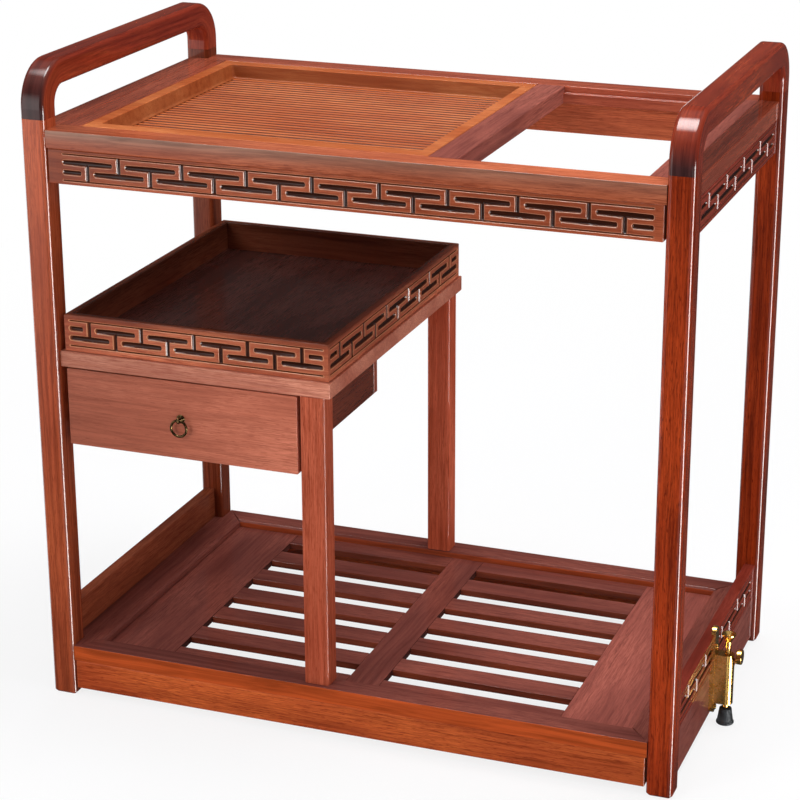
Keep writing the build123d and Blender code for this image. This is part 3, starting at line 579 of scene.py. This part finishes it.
# Front rail: its grey second colour is a painted sheen on the front face.
PAINTED_SHEEN_RAIL = hardwood("front_rail", "#c46c48", "#a85434", "#7a3420", 6, 340, 1.0, 0.5,
                      stain_and_painted_light_colour="#8f6a58", stain_and_painted_light_reach=(0.0, 1.1))
CABINET_TOP = hardwood("pale_cabinet_board", "#c4836a", "#a9634c", "#88493a", 6, 260, 0.8, 0.5,
                       gloss=0.25, coat=0.5)
HANDLE = hardwood("bent_handle", "#ad4b2b", "#933421", "#5e1c12", 5, 300, 0.8, 0.45,
                  stain_and_painted_light_colour="#3e2423", stain_and_painted_light_reach=(0.05, 1.0))
DRAWER_FACE = hardwood("satin_drawer_face", "#bc6f56", "#a75c45", "#864633", 6, 260, 0.9, 0.7,
                       gloss=0.25, coat=0.5)
STREAKED = hardwood("streaked_orange_apron", "#c8642f", "#a84a24", "#752a13", 4, 230, 1.3, 0.8)
# Carved finishes: the dark second colour in the cuts is stain with painted shade in the recess; the
# rim colour is a painted highlight on the lip.
CARVED = hardwood("carved_red_brown", "#b05c3c", "#954a2e", "#6f2f1c", 7, 280, 0.8, 0.5,
                  coat=0.7, stain_and_painted_light_colour="#34150a", rim="#c08264")
# Darker copy of the carved finish: painted shade on end faces turned away from the light.
CARVED_END_PAINTED_SHADE = hardwood("carved_maroon", "#9c4232", "#823023", "#5e2016", 7, 280, 0.8, 0.5,
                      coat=0.6, stain_and_painted_light_colour="#2a0f0a", rim="#8f4030")
CARVED_TRAY = hardwood("carved_tray_wall", "#c67352", "#a6573c", "#7c3826", 7, 240, 0.9, 0.5,
                       coat=0.6, stain_and_painted_light_colour="#34150a", rim="#c98660")
# Its dark second colour is painted shade in the grooves between the ribs.
TRAY_WOOD = hardwood("orange_tray", "#d5834f", "#bf6638", "#9a4520", 7, 260, 0.8, 0.4, gloss=0.3,
                     coat=0.35, stain_and_painted_light_colour="#5c220c", stain_and_painted_light_reach=(0.1, 0.8))
TRAY_DARK = hardwood("dark_tray_floor", "#6a453e", "#52322d", "#39201c", 9, 220, 0.8, 0.3,
                     gloss=0.2, coat=0.6)
# Its orange second colour is painted light on the front faces of shelf rails and slats.
SHELF = hardwood("plum_brown_shelf", "#9c584a", "#82463c", "#5f302a", 6, 320, 0.8, 0.45, coat=0.5,
                 stain_and_painted_light_colour="#ad4a20", stain_and_painted_light_reach=(0.2, 0.8))
INSIDE = hardwood("plain_drawer_wood", "#b98a5f", "#a1734b", "#86593a", 9, 220, 0.8, 0.5,
                  gloss=0.4, coat=0.1)
BRASS = metal("plated_brass", "#f0c274", "#dba955", 0.24, 6.0)
AGED_BRASS = metal("aged_brass", "#6e5838", "#2b2118", 0.3, 2.5)
SPRING_WIRE = metal("drawn_spring_wire", "#b9bbc0", "#8e9096", 0.3, 3.0)
RUBBER = rubber_finish()


# ---- frame

def legs():
    """Four legs with rounded edges and a bevel round the foot."""
    # Shade pairs, from foot to top, are painted light and shade: the front left leg lighter
    # upwards, the back legs darker.
    finishes = {"front_left": (ROSE_LEG, (0.75, 1.2)), "front_right": (ORANGE_LEG, (1.05, 0.95)),
                "back_left": (ROSE_LEG, (0.5, 0.5)), "back_right": (ORANGE_LEG, (0.9, 0.85))}
    for place, (finish, shade) in finishes.items():
        board("leg_" + place, "-y", "z", finish, LEG_EDGE, FINE_EDGE, bevel=FOOT_BEVEL, shade=shade)


def handles():
    """Handles: a rounded square carried up the front leg, over the top and down to the back leg.

    The middle line is straight, a quarter circle, straight, a quarter circle and straight again. A
    section point stands `out` from it along the outward direction (-cos t, sin t), t being the
    turn. The outer face is stained dark near the joints, where it soaked up more.
    """
    for end in ("left", "right"):
        low, high = box(f"handle_corner_front_{end}")
        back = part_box(f"handle_corner_back_{end}")[1].y
        half = (high[0] - low[0]) / 2
        radius = HANDLE_BEND - half
        stem = np.linspace(0, high[2] - HANDLE_BEND - low[2], STEM_STEPS)
        turn = np.radians(np.linspace(0, 90, BEND_STEPS))
        angle = np.concatenate([0 * stem, turn, np.pi - turn[::-1], 0 * stem + np.pi])
        in_front = np.arange(len(angle)) < len(angle) // 2
        centre_y = np.where(in_front, low[1] + HANDLE_BEND, back - HANDLE_BEND)
        middle_y = centre_y - radius * np.cos(angle)
        rise = np.concatenate([stem, np.full(2 * len(turn), stem[-1]), stem[::-1]])
        middle_z = low[2] + rise + radius * np.sin(angle)
        length = np.append(0, np.cumsum(np.hypot(np.diff(middle_y), np.diff(middle_z))))
        section, _ = rounded_section((-half, half), (-half, half), LEG_EDGE)
        across, out = section[None, :, 0], section[None, :, 1]
        ys = middle_y[:, None] - out * np.cos(angle)[:, None]
        zs = middle_z[:, None] + out * np.sin(angle)[:, None]
        xs = (low[0] + high[0]) / 2 + np.repeat(across, len(angle), axis=0)
        grain = np.dstack([length[:, None] + 0 * xs, across + 0 * xs, out + 0 * xs])
        from_joint = np.minimum(length, length[-1] - length)[:, None]
        near = np.clip(JOINT_STAIN - from_joint / STAINED_END[end], 0, 1)
        outer = np.clip((out - half) / LEG_EDGE + 1, 0, 1)
        sheet = {"points": np.dstack([xs, ys, zs]), "grain": grain + own_offset("handle_" + end),
                 "hollow": near * outer, "flip": True}
        nodes = [f"handle_{part}_{end}" for part in ("corner_front", "corner_back", "bar")]
        piece(f"handle_{end}_bent", [sheet], HANDLE, "table", nodes)


def ledged_rail(node, length, inner, finish, shade=(1.0, 1.0), painted_sheen=False):
    """A top rail: a low part that reaches in under the tray's rim, and a high part round it.

    `inner` lists the sides that carry the ledge, as signs along the rail's width. A rail with the
    sheen flag has a greyer front face: a painted sheen that stands for the reflection of the bright
    ground in front.
    """
    low, high = box(node)
    wide = 1 if length == "x" else 0
    a0, a1 = low[wide], high[wide]
    step = high[2] - LEDGE_DROP
    corners = [(a0, low[2]), (a1, low[2]), (a1, high[2]), (a0, high[2])]
    if -1 in inner:
        corners[3:] = [(a0 + LEDGE_WIDTH, high[2]), (a0 + LEDGE_WIDTH, step), (a0, step)]
    if 1 in inner:
        corners[2:3] = [(a1, step), (a1 - LEDGE_WIDTH, step), (a1 - LEDGE_WIDTH, high[2])]
    section = polygon_section(corners, EDGE)
    stations = np.array([low[1 - wide], high[1 - wide]]), np.zeros(2)
    axes = np.zeros(3), np.array([X, Y, Z] if length == "x" else [Y, X, Z])
    sheet = carried(section, stations, axes, offset=own_offset(node), shade=shade)
    # Painted sheen: the front face takes the grey second colour, strongest at the left end, and
    # painted shade darkens the face toward the right end.
    if painted_sheen:
        front = section[0][:, 0] < a0 + EDGE / 2
        upper = section[0][:, 1] > low[2] + 2 * EDGE
        sheet["hollow"] = np.where(front & upper, [[0.95], [0.6]], 0.0)
        sheet["shade"] = sheet["shade"] * np.where(front, [[0.85], [0.5]], 1.0)
    piece(node + "_timber", [sheet], finish, "table", [node])


def table_top():
    """Rails round the tray and the stove bay, outer side rails, and carved aprons below."""
    # Shade pairs are painted light on these rails, lighter toward the right on the front and back
    # rails.
    ledged_rail("top_front_rail", "x", (1,), PAINTED_SHEEN_RAIL, (1.1, 1.7), painted_sheen=True)
    ledged_rail("top_back_rail", "x", (-1,), RED_RAIL, (1.1, 1.4))
    ledged_rail("top_left_rail", "y", (1,), RED_RAIL)
    ledged_rail("tray_crossbar", "y", (-1,), SHELF, (1.45, 1.3))
    ledged_rail("top_right_rail", "y", (), SHELF, (1.4, 1.4))
    board("top_left_side_rail", "+z", "y", RED_RAIL)
    board("top_right_side_rail", "+z", "y", RED_RAIL)
    # Painted highlight along the front apron's lower edge, painted shade along its top under the
    # rail, and a little lighter to the right.
    board("top_front_apron", "-y", "x", CARVED, fret=FRONT_FRET, shade=(0.95, 1.05),
          edges=(1.35, 0.85))
    # Painted light on the back apron's inner face, seen through the stove bay.
    board("top_back_apron", "+y", "x", CARVED, fret=BACK_FRET, inside=1.7)
    board("top_left_apron", "-x", "y", CARVED_END_PAINTED_SHADE, fret=END_FRET)
    board("top_right_apron", "+x", "y", CARVED_END_PAINTED_SHADE, fret=END_FRET)


# ---- trays

def rounded_loop(low, high, radius, height):
    """Outline of a rounded rectangle at a height, with the same count of points at every size."""
    points, _ = rounded_section((low[0], high[0]), (low[1], high[1]), radius)
    return np.column_stack([points, np.full(len(points), height)])


def tea_tray():
    """Loose tray: rim, sloping walls with a rounded foot, and half-round ribs along its floor.

    A rib is half an ellipse across and fades to nothing in a quarter circle at each end.
    """
    low, high = box("tea_tray")
    top, ledge = high[2], high[2] - LEDGE_DROP
    low_in, high_in = low[:2] + TRAY_RIM, high[:2] - TRAY_RIM
    floor = top - TRAY_DEPTH
    turn = np.radians(np.linspace(0, 90, ARC_STEPS + 1))
    open_up, close_in = 1 - np.cos(turn), 1 - np.sin(turn)
    outer = [(LEDGE_WIDTH, low[2]), (LEDGE_WIDTH, ledge), (0, ledge),
             *zip(EDGE * open_up, top - EDGE * close_in)]
    inner = [*zip(-EDGE * close_in, top - EDGE * open_up),
             *zip(TRAY_DRAFT + TRAY_COVE * open_up, floor + TRAY_COVE * close_in)]
    grid = np.array([rounded_loop(low[:2] + inset, high[:2] - inset, EDGE, z)
                     for inset, z in outer]
                    + [rounded_loop(low_in + inset, high_in - inset, TRAY_CORNER, z)
                       for inset, z in inner])
    offset = own_offset("tea_tray")
    from_floor = np.arange(len(grid))[::-1, None]
    # Painted shade: the walls' foot and the floor are darker, and the floor takes the dark second
    # colour between the ribs.
    sheets = [{"points": grid, "grain": grid + offset,
               "shade": np.where(from_floor <= len(turn), 0.72, 1.0),
               "hollow": np.where(from_floor == 0, 1.0, 0.0)}]
    count = int((high_in[1] - low_in[1] - 2 * RIB_END) // RIB_PITCH)
    middle = (low_in[1] + high_in[1]) / 2
    start, end = low_in[0] + RIB_END, high_in[0] - RIB_END
    round_up = np.radians(np.linspace(0, 180, 11))
    fade = np.radians(np.linspace(0, 90, 5))
    tip = RIB_WIDTH / 2 * (1 - np.cos(fade))
    along = np.concatenate([start + tip, (end - tip)[::-1]])
    swell = np.concatenate([np.sin(fade), np.sin(fade)[::-1]])[:, None]
    height = np.sin(round_up)[None, :] * swell
    xs = np.repeat(along[:, None], len(round_up), axis=1)
    for number in range(count):
        rib_y = middle + (number - (count - 1) / 2) * RIB_PITCH
        ys = rib_y - RIB_WIDTH / 2 * np.cos(round_up)[None, :] * np.maximum(swell, RIB_TIP)
        rib = np.dstack([xs, ys, floor - RIB_SUNK + RIB_HEIGHT * height])
        # Ribs are painted lighter, fading to the dark second colour at their feet: painted light
        # and shade.
        sheets.append({"points": rib, "grain": rib + offset, "shade": 1.2, "caps": False,
                       "hollow": np.minimum(2.2 * (1 - height), 1)})
    piece("tea_tray_ribbed", sheets, TRAY_WOOD, "tea_tray", ["tea_tray"])


def waste_tray():
    """Loose tray for waste water: four mitred carved walls and a floor with a raised field."""
    for side, face, length, fret in (
            ("front", "-y", "x", TRAY_FRONT_FRET), ("back", "+y", "x", TRAY_FRONT_FRET),
            ("left", "-x", "y", TRAY_END_FRET), ("right", "+x", "y", TRAY_END_FRET)):
        # Painted shade on the walls' inner faces, a painted highlight along their lower edge and
        # painted shade along their top.
        board("waste_tray_" + side, face, length, CARVED_TRAY, EDGE, FINE_EDGE, fret,
              body="waste_tray", inside=0.35, edges=(1.5, 0.6), mitre=(1, 1.0))
    low, high = box("waste_tray_floor")
    ledge = high[2] - WASTE_STEP
    rings = [(0, low[2]), (0, ledge), (WASTE_FIELD, ledge),
             (WASTE_FIELD + 0.6 * MM, ledge + 0.5 * MM),
             (WASTE_FIELD + 1.2 * MM, high[2] - 0.3 * MM), (WASTE_FIELD + 1.9 * MM, high[2])]
    grid = np.array([rounded_loop(low[:2] + inset, high[:2] - inset, WASTE_CORNER, z)
                     for inset, z in rings])
    piece("waste_tray_floor_board", [{"points": grid, "grain": grid[..., [1, 0, 2]]}], TRAY_DARK,
          "waste_tray", ["waste_tray_floor"])


# ---- cabinet and drawer

def cabinet():
    """Board over the drawer, the two cabinet legs, and the drawer's case; its runners come from
    runners().
    """
    # Painted light and shade: the board lighter to the right, the back cabinet leg lighter, the
    # right case side darker.
    board("cabinet_board", "-y", "x", CABINET_TOP, shade=(0.9, 1.3))
    for side, tone in (("front", 1.05), ("back", 1.5)):
        board("cabinet_leg_" + side, "-y", "z", CABINET_LEG, CABINET_LEG_EDGE, FINE_EDGE,
              shade=(tone, tone))
    board("case_left_side", "-x", "y", RED_RAIL)
    board("case_right_side", "+x", "y", RED_RAIL, shade=(0.45, 0.45))
    board("case_back", "+y", "x", RED_RAIL)


def drawer():
    """Drawer box behind an overlaid front."""
    # Painted sheen: the drawer front is lighter to the right.
    board("drawer_front", "-y", "x", DRAWER_FACE, body="drawer", shade=(0.85, 1.3))
    for part, face, length, edge in (
            ("left_side", "-x", "y", EDGE), ("right_side", "+x", "y", EDGE),
            ("back", "+y", "x", EDGE), ("bottom", "+z", "x", FINE_EDGE)):
        board("drawer_" + part, face, length, INSIDE, edge, body="drawer")


def bar_between(low, high, edge, offset, hollow=(0.0, 0.0, 0.0), shade=(1.0, 1.0, 1.0)):
    """A straight bar along its box's longest side, with softened edges.

    `hollow` and `shade` are for its low side, its top and its high side.
    """
    size = high - low
    length = int(np.argmax(size))
    across, through = [n for n in range(3) if n != length]
    directions = np.eye(3)[[length, across, through]]
    section = rounded_section((low[across], high[across]), (low[through], high[through]), edge)
    stations = rounded_ends(low[length], high[length], np.min(edge))
    sheet = carried(section, stations, (np.zeros(3), directions), offset=offset)
    return sheet | {"hollow": by_side(section[0], *hollow)[None],
                    "shade": by_side(section[0], *shade)[None]}


def runners():
    """Two runners that carry the drawer, one at each end of their box."""
    low, high = box("drawer_runners")
    bars = ((low, np.array([low[0] + RUNNER_WIDTH, *high[1:]])),
            (np.array([high[0] - RUNNER_WIDTH, *low[1:]]), high))
    sheets = [bar_between(*corners, RUNNER_EDGE, own_offset(f"runner{n}"))
              for n, corners in enumerate(bars)]
    piece("drawer_runners_timber", sheets, INSIDE, "table", ["drawer_runners"])


# ---- shelf


def shelf_rails():
    """Mitred frame, bevelled on its inner top edge; its end rails run on under carved boards."""
    front_low, front_high = box("shelf_front_rail")
    wide = front_high[1] - front_low[1]
    slope = (box("shelf_left_rail")[1][0] - front_low[0]) / wide
    leg_y = abs(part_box("leg_front_left")[1].y)
    for side, inwards in (("front", 1), ("back", -1)):
        node = f"shelf_{side}_rail"
        low, high = box(node)
        outer = low[1] if inwards > 0 else high[1]
        corners = [(0, low[2]), (wide, low[2]), (wide, high[2] - SHELF_BEVEL),
                   (wide - SHELF_BEVEL, high[2]), (0, high[2])]
        section = polygon_section(corners, SHELF_RAIL_EDGE)
        stations = np.array([low[0], high[0]]), np.zeros(2)
        axes = np.array([0, outer, 0]), np.array([X, inwards * Y, Z])
        sheet = carried(section, stations, axes, mitre=(0, slope), offset=own_offset(node))
        # Painted light: the outer face takes the orange second colour, the inner face part of it.
        sheet["hollow"] = by_side(section[0], 1.0, 0.0, 0.6)[None]
        piece(node + "_timber", [sheet], SHELF, "table", [node])
    for side, inwards in (("left", 1), ("right", -1)):
        node = f"shelf_{side}_rail"
        low, high = box(node)
        outer = low[0] if inwards > 0 else high[0]
        deep = high[0] - low[0]
        tab = deep - slope * wide
        # half the rail's outline, as corners of (distance from the outer face, half length)
        plan = [(0, leg_y), (tab, leg_y), (tab, high[1]), (deep, high[1] - wide)]
        outline = plan + [(d, -h) for d, h in plan[::-1]]
        levels = [(low[2], 0.0), (high[2] - SHELF_BEVEL, 0.0), (high[2], SHELF_BEVEL)]
        grid = np.array([[(outer + inwards * (d - (back if d == deep else 0)), h, z)
                          for d, h in outline] for z, back in levels])
        sheet = {"points": grid, "grain": grid[..., [1, 0, 2]] + own_offset(node),
                 "flip": inwards > 0}
        piece(node + "_timber", [sheet], SHELF, "table", [node])


def shelf_panel():
    """End boards, a centre board and rows of slats, each with softened edges, in the frame."""
    low, high = box("shelf_end_boards")
    inner_x = low[0] + TONGUE, high[0] - TONGUE
    inner_y = low[1] + TONGUE, high[1] - TONGUE
    middle = (low[0] + high[0]) / 2
    columns = ((inner_x[0] + END_BOARD, middle - CENTRE_BOARD / 2),
               (middle + CENTRE_BOARD / 2, inner_x[1] - END_BOARD))
    pitch = SLOT_WIDTH + SLAT_WIDTH
    first = -(SLOT_COUNT * SLOT_WIDTH + (SLOT_COUNT - 1) * SLAT_WIDTH) / 2
    rows = [(inner_y[0], first)]
    rows += [(first + SLOT_WIDTH + n * pitch, first + (n + 1) * pitch)
             for n in range(SLOT_COUNT - 1)]
    rows += [(-first, inner_y[1])]

    def plank(name, x, y, n, shade, hollow=(0, 0, 0)):
        corners = np.array([x[0], y[0], low[2]]), np.array([x[1], y[1], high[2]])
        return bar_between(*corners, PANEL_EDGE, own_offset(name + str(n)), hollow, shade)

    # Painted shade on the planks' side faces and painted light on their tops; the slats' front face
    # takes the orange second colour as painted light.
    planks = {
        "end_boards": [plank("end", (inner_x[0], columns[0][0]), inner_y, 1, (0.4, 1.15, 0.35)),
                       plank("end", (columns[1][1], inner_x[1]), inner_y, 7, (0.4, 1.65, 0.4))],
        "centre_board": [plank("centre", (columns[0][1], columns[1][0]), inner_y, 3,
                               (0.35, 1.15, 0.35))],
        "slats": [plank("slat", column, row, 5 * n + side, (0.55, 1.1, 0.4), (0.42, 0, 0))
                  for side, column in enumerate(columns) for n, row in enumerate(rows)]}
    for part, sheets in planks.items():
        piece(f"shelf_{part}_timber", sheets, SHELF, "table", ["shelf_" + part])


def shelf_boards():
    """Plain aprons under the shelf and carved boards that stand on its ends."""
    # Shade pairs are painted light and shade: the front apron lighter at its left, the left board
    # darker toward its back.
    board("shelf_front_apron", "-y", "x", STREAKED, shade=(1.15, 1.0))
    board("shelf_back_apron", "+y", "x", STREAKED)
    board("shelf_left_apron", "-x", "y", SHELF)
    board("shelf_right_apron", "+x", "y", SHELF)
    board("shelf_left_board", "-x", "y", CARVED, fret=SIDE_BOARD_FRET, shade=(1.0, 0.6))
    board("shelf_right_board", "+x", "y", CARVED_END_PAINTED_SHADE, fret=SIDE_BOARD_FRET)


# ---- metal and rubber

def spokes(axis, angle):
    """Directions across `axis`, one for each angle round it."""
    side = np.cross(axis, X if abs(axis[0]) < 0.9 else Y)
    side /= np.linalg.norm(side)
    return np.cos(angle)[:, None] * side + np.sin(angle)[:, None] * np.cross(axis, side)


def turned(centre, axis, profile, steps=48):
    """Turn a profile of (radius, height) about an axis through `centre`."""
    spoke = spokes(axis, np.linspace(0, 2 * np.pi, steps, endpoint=False))
    radius, height = np.asarray(profile, float).T
    return {"points": centre + radius[:, None, None] * spoke[None] + height[:, None, None] * axis}


def ring(centre, axis, major, wire, steps=64, sides=20, ovality=1.0):
    """A ring: a small circle carried round a large one in the plane across `axis`."""
    spoke = spokes(axis, np.linspace(0, 2 * np.pi, steps + 1))
    small = np.linspace(0, 2 * np.pi, sides, endpoint=False)
    points = (centre + spoke[:, None] * (major + wire * np.cos(small))[None, :, None]
              + axis * (ovality * wire * np.sin(small))[None, :, None])
    return {"points": points, "caps": False, "flip": True}


def pull():
    """Ring pull: a domed rosette with a neck and eye, and a cast ring hanging in the eye."""
    low, high = box("pull_post")
    ring_low, ring_high = box("pull_ring")
    centre_x = (low[0] + high[0]) / 2
    pivot = np.array([centre_x, (ring_low[1] + ring_high[1]) / 2, (low[2] + high[2]) / 2])
    base = (high[2] - low[2]) / 2
    seat = np.array([centre_x, high[1], pivot[2]])
    dome = [(base, 0), (base, 0.5 * MM), (base - 0.3 * MM, 0.9 * MM), (base - 0.9 * MM, 1.1 * MM),
            (base - 1.3 * MM, 1.1 * MM), (base - 1.6 * MM, 1.4 * MM), (base - 2.4 * MM, 2.0 * MM),
            (2.4 * MM, 2.3 * MM), (2.1 * MM, 2.8 * MM), (1.9 * MM, 3.4 * MM), (1.7 * MM, 4.4 * MM)]
    rosette = [turned(seat, -Y, dome), ring(pivot, X, EYE_RADIUS, EYE_WIRE, 40, 14, 1.3)]
    piece("pull_rosette", rosette, AGED_BRASS, "drawer", ["pull_post"])
    hang = ring(pivot - Z * RING_RADIUS, Y, RING_RADIUS, RING_WIRE)
    piece("pull_cast_ring", [hang], AGED_BRASS, "pull_ring", ["pull_ring"])


def return_spring():
    """Coil spring round the plunger, drawn at one length; on the real brake it shortens as the
    pedal goes down.

    A small circle is carried up the helix (R cos t, R sin t), whose height rises evenly with t.
    """
    low, high = box("brake_spring")
    turn = np.linspace(0, 2 * np.pi * SPRING_TURNS, SPRING_STEPS * SPRING_TURNS + 1)
    small = np.linspace(0, 2 * np.pi, 10, endpoint=False)
    spoke = np.column_stack([np.cos(turn), np.sin(turn), 0 * turn])
    rise = np.linspace(low[2] + SPRING_RADIUS, high[2] - SPRING_RADIUS, len(turn))
    coil = (high[0] - low[0]) / 2 - SPRING_RADIUS
    reach = coil + SPRING_RADIUS * np.cos(small)
    points = (spoke[:, None] * reach[None, :, None]
              + Z * (SPRING_RADIUS * np.sin(small))[None, :, None])
    points = points + Z * rise[:, None, None] + np.array([*(low[:2] + high[:2]) / 2, 0])
    spring = piece("brake_return_spring", [{"points": points, "flip": True}], SPRING_WIRE, "table",
                   ["brake_spring"])
    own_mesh(spring)


def brake():
    """Brake fittings keep their machined shapes; the rubber foot gets its moulded rings."""
    for node in ("brake_bracket", "brake_plunger", "brake_screws", "release_lever"):
        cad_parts[node].material_slots[0].material = BRASS
    return_spring()
    low, high = box("brake_foot")
    centre = np.array([(low[0] + high[0]) / 2, (low[1] + high[1]) / 2, low[2]])
    wide, tall = (high[0] - low[0]) / 2, high[2] - low[2]
    narrow = wide - FOOT_TAPER
    slope = [(wide - (wide - narrow) * t, tall * t) for t in np.linspace(0.16, 0.92, 12)]
    profile = [(wide - 2.2 * MM, 0.0), (wide - 0.6 * MM, 0.0), (wide, 0.7 * MM), (wide, 2.2 * MM),
               (wide - 0.5 * MM, 2.9 * MM), (wide - 1.0 * MM, 3.4 * MM)]
    profile += [(r - 0.6 * MM, h) for r, h in slope]
    profile += [(narrow - 0.8 * MM, tall - 0.5 * MM), (narrow - 1.6 * MM, tall), (3.6 * MM, tall)]
    piece("brake_foot_rubber", [turned(centre, Z, profile)], RUBBER, "brake_plunger",
          ["brake_foot"])


# ---- studio

WORLD_LIGHT = 0.5
FLOOR_HALF = 14.0
FLOOR_FADE = (0.5, 2.2, 0.82, 1.0)   # the floor turns plain white over these two distances
LAMPS = {                 # place, aim, width and height, watts
    "key_box": ((-1.7, -3.2, 2.1), (0, 0, 0.5), (1.3, 1.3), 44),
    "low_front_box": ((-1.9, -3.1, 0.35), (-0.2, 0, 0.5), (1.6, 0.5), 14),
    "right_box": ((2.7, -0.7, 1.5), (0, 0, 0.5), (1.4, 1.4), 20),
    "back_box": ((-0.9, 3.0, 2.2), (0, 0, 0.6), (1.2, 1.2), 14),
    "top_box": ((0.5, 0.3, 3.2), (0.2, 0, 0.5), (1.2, 1.2), 50),
}
SHEEN = 0.06              # the dim surround that the gloss shows
SHEENS = (                # bright panels in the gloss: direction, inner and outer reach, strength
    ((0.87, -0.36, -0.34), 8, 16, 26.0),       # thin line on the right of rounded edges
    ((-0.95, 0.05, -0.28), 6, 16, 3.0),        # thin line on their left
    ((-0.20, -0.06, 0.96), 1, 21, 19.0),       # across the bends and front top edges
    ((-0.31, 0.94, -0.10), 4, 9, 1.3),         # far side of the handles
    ((-0.65, -0.76, 0.0), 8, 25, 2.2),          # sheen on the fronts at the left
    ((0.22, -0.91, -0.33), 5, 15, 1.2),        # strip on the round metal
    ((0.0, 0.0, 1.0), 30, 55, 0.5),            # soft light straight above
)


def gloss_surround(tree):
    """Strength of the surround in the gloss: a dim ground and bright panels with soft borders.

    A panel adds its strength where the angle to its direction is under its reach, by the cosine.
    """
    towards = add(tree, "TexCoord").outputs["Generated"]
    total = SHEEN
    for direction, inner, outer, strength in SHEENS:
        cosine = add(tree, "VectorMath", {0: towards, 1: Vector(direction).normalized()},
                     operation="DOT_PRODUCT").outputs["Value"]
        reach = math.cos(math.radians(outer)), math.cos(math.radians(inner))
        total = combine(tree, "ADD", spread(tree, cosine, *reach, 0, strength), total)
    return total


def studio():
    """Pale floor, soft boxes and a white surround; the lacquer and metal show bright panels."""
    world = bpy.data.worlds.new("studio")
    bpy.context.scene.world = world
    world.use_nodes = True
    tree = world.node_tree
    tree.nodes.clear()
    path = add(tree, "LightPath").outputs
    soft = add(tree, "Background", {"Color": linear("#f4f6ff"), "Strength": WORLD_LIGHT})
    gloss = add(tree, "Background", {"Color": (1, 1, 1, 1), "Strength": gloss_surround(tree)})
    clear = add(tree, "Background", {"Color": (1, 1, 1, 1), "Strength": 1.0})
    seen = combine(tree, "MAXIMUM", path["Is Camera Ray"], path["Is Transmission Ray"])
    mix = add(tree, "MixShader", {0: path["Is Glossy Ray"], 1: soft.outputs[0],
                                  2: gloss.outputs[0]})
    mix = add(tree, "MixShader", {0: seen, 1: mix.outputs[0], 2: clear.outputs[0]})
    add(tree, "OutputWorld", {"Surface": mix.outputs[0]})

    mesh = bpy.data.meshes.new("floor")
    corners = [(x * FLOOR_HALF, y * FLOOR_HALF, 0) for x, y in ((-1, -1), (1, -1), (1, 1), (-1, 1))]
    mesh.from_pydata(corners, [], [(0, 1, 2, 3)])
    floor = linked("floor", mesh)
    floor.visible_glossy = False
    material, tree, shader = new_finish("pale_floor")
    set_sockets(shader, base_color=linear("#f6f6f6"), roughness=0.9)
    path = add(tree, "LightPath").outputs
    glow = add(tree, "Emission", {"Color": (1, 1, 1, 1), "Strength": 1.0})
    place = add(tree, "TexCoord").outputs["Object"]
    away = add(tree, "VectorMath", {0: place}, operation="LENGTH").outputs["Value"]
    share = combine(tree, "MULTIPLY", path["Is Camera Ray"], spread(tree, away, *FLOOR_FADE))
    mix = add(tree, "MixShader", {0: share, 1: shader.outputs[0], 2: glow.outputs[0]})
    tree.links.new(mix.outputs[0], tree.nodes["Material Output"].inputs["Surface"])
    mesh.materials.append(material)

    for name, (place, aim, size, power) in LAMPS.items():
        lamp = bpy.data.lights.new(name, "AREA")
        lamp.shape = "RECTANGLE"
        lamp.size, lamp.size_y = size
        lamp.energy = power
        obj = linked(name, lamp)
        obj.visible_camera = obj.visible_glossy = False
        obj.location = place
        obj.rotation_euler = (Vector(aim) - Vector(place)).to_track_quat("-Z", "Y").to_euler()


CAMERA_PLACE = (0.9506, -2.6061, 1.3704)
CAMERA_ROUND = 20.103     # degrees right of straight ahead
CAMERA_DOWN = 19.706      # degrees
CAMERA_LENS = 104.28
CAMERA_SHIFT = (-0.03241, -0.00552)


def camera():
    """Camera at the height and angle from which such a table is usually looked at."""
    data = bpy.data.cameras.new("camera")
    data.lens = CAMERA_LENS
    data.shift_x, data.shift_y = CAMERA_SHIFT
    obj = linked("camera", data)
    round_, down = math.radians(CAMERA_ROUND), math.radians(CAMERA_DOWN)
    look = Vector((-math.sin(round_) * math.cos(down), math.cos(round_) * math.cos(down),
                   -math.sin(down)))
    obj.location = CAMERA_PLACE
    obj.rotation_euler = look.to_track_quat("-Z", "Y").to_euler()
    bpy.context.scene.camera = obj


camera()
studio()
legs()
handles()
table_top()
tea_tray()
waste_tray()
cabinet()
drawer()
runners()
shelf_rails()
shelf_panel()
shelf_boards()
pull()
brake()

bpy.context.scene.view_settings.view_transform = "Standard"
bpy.context.view_layer.update()
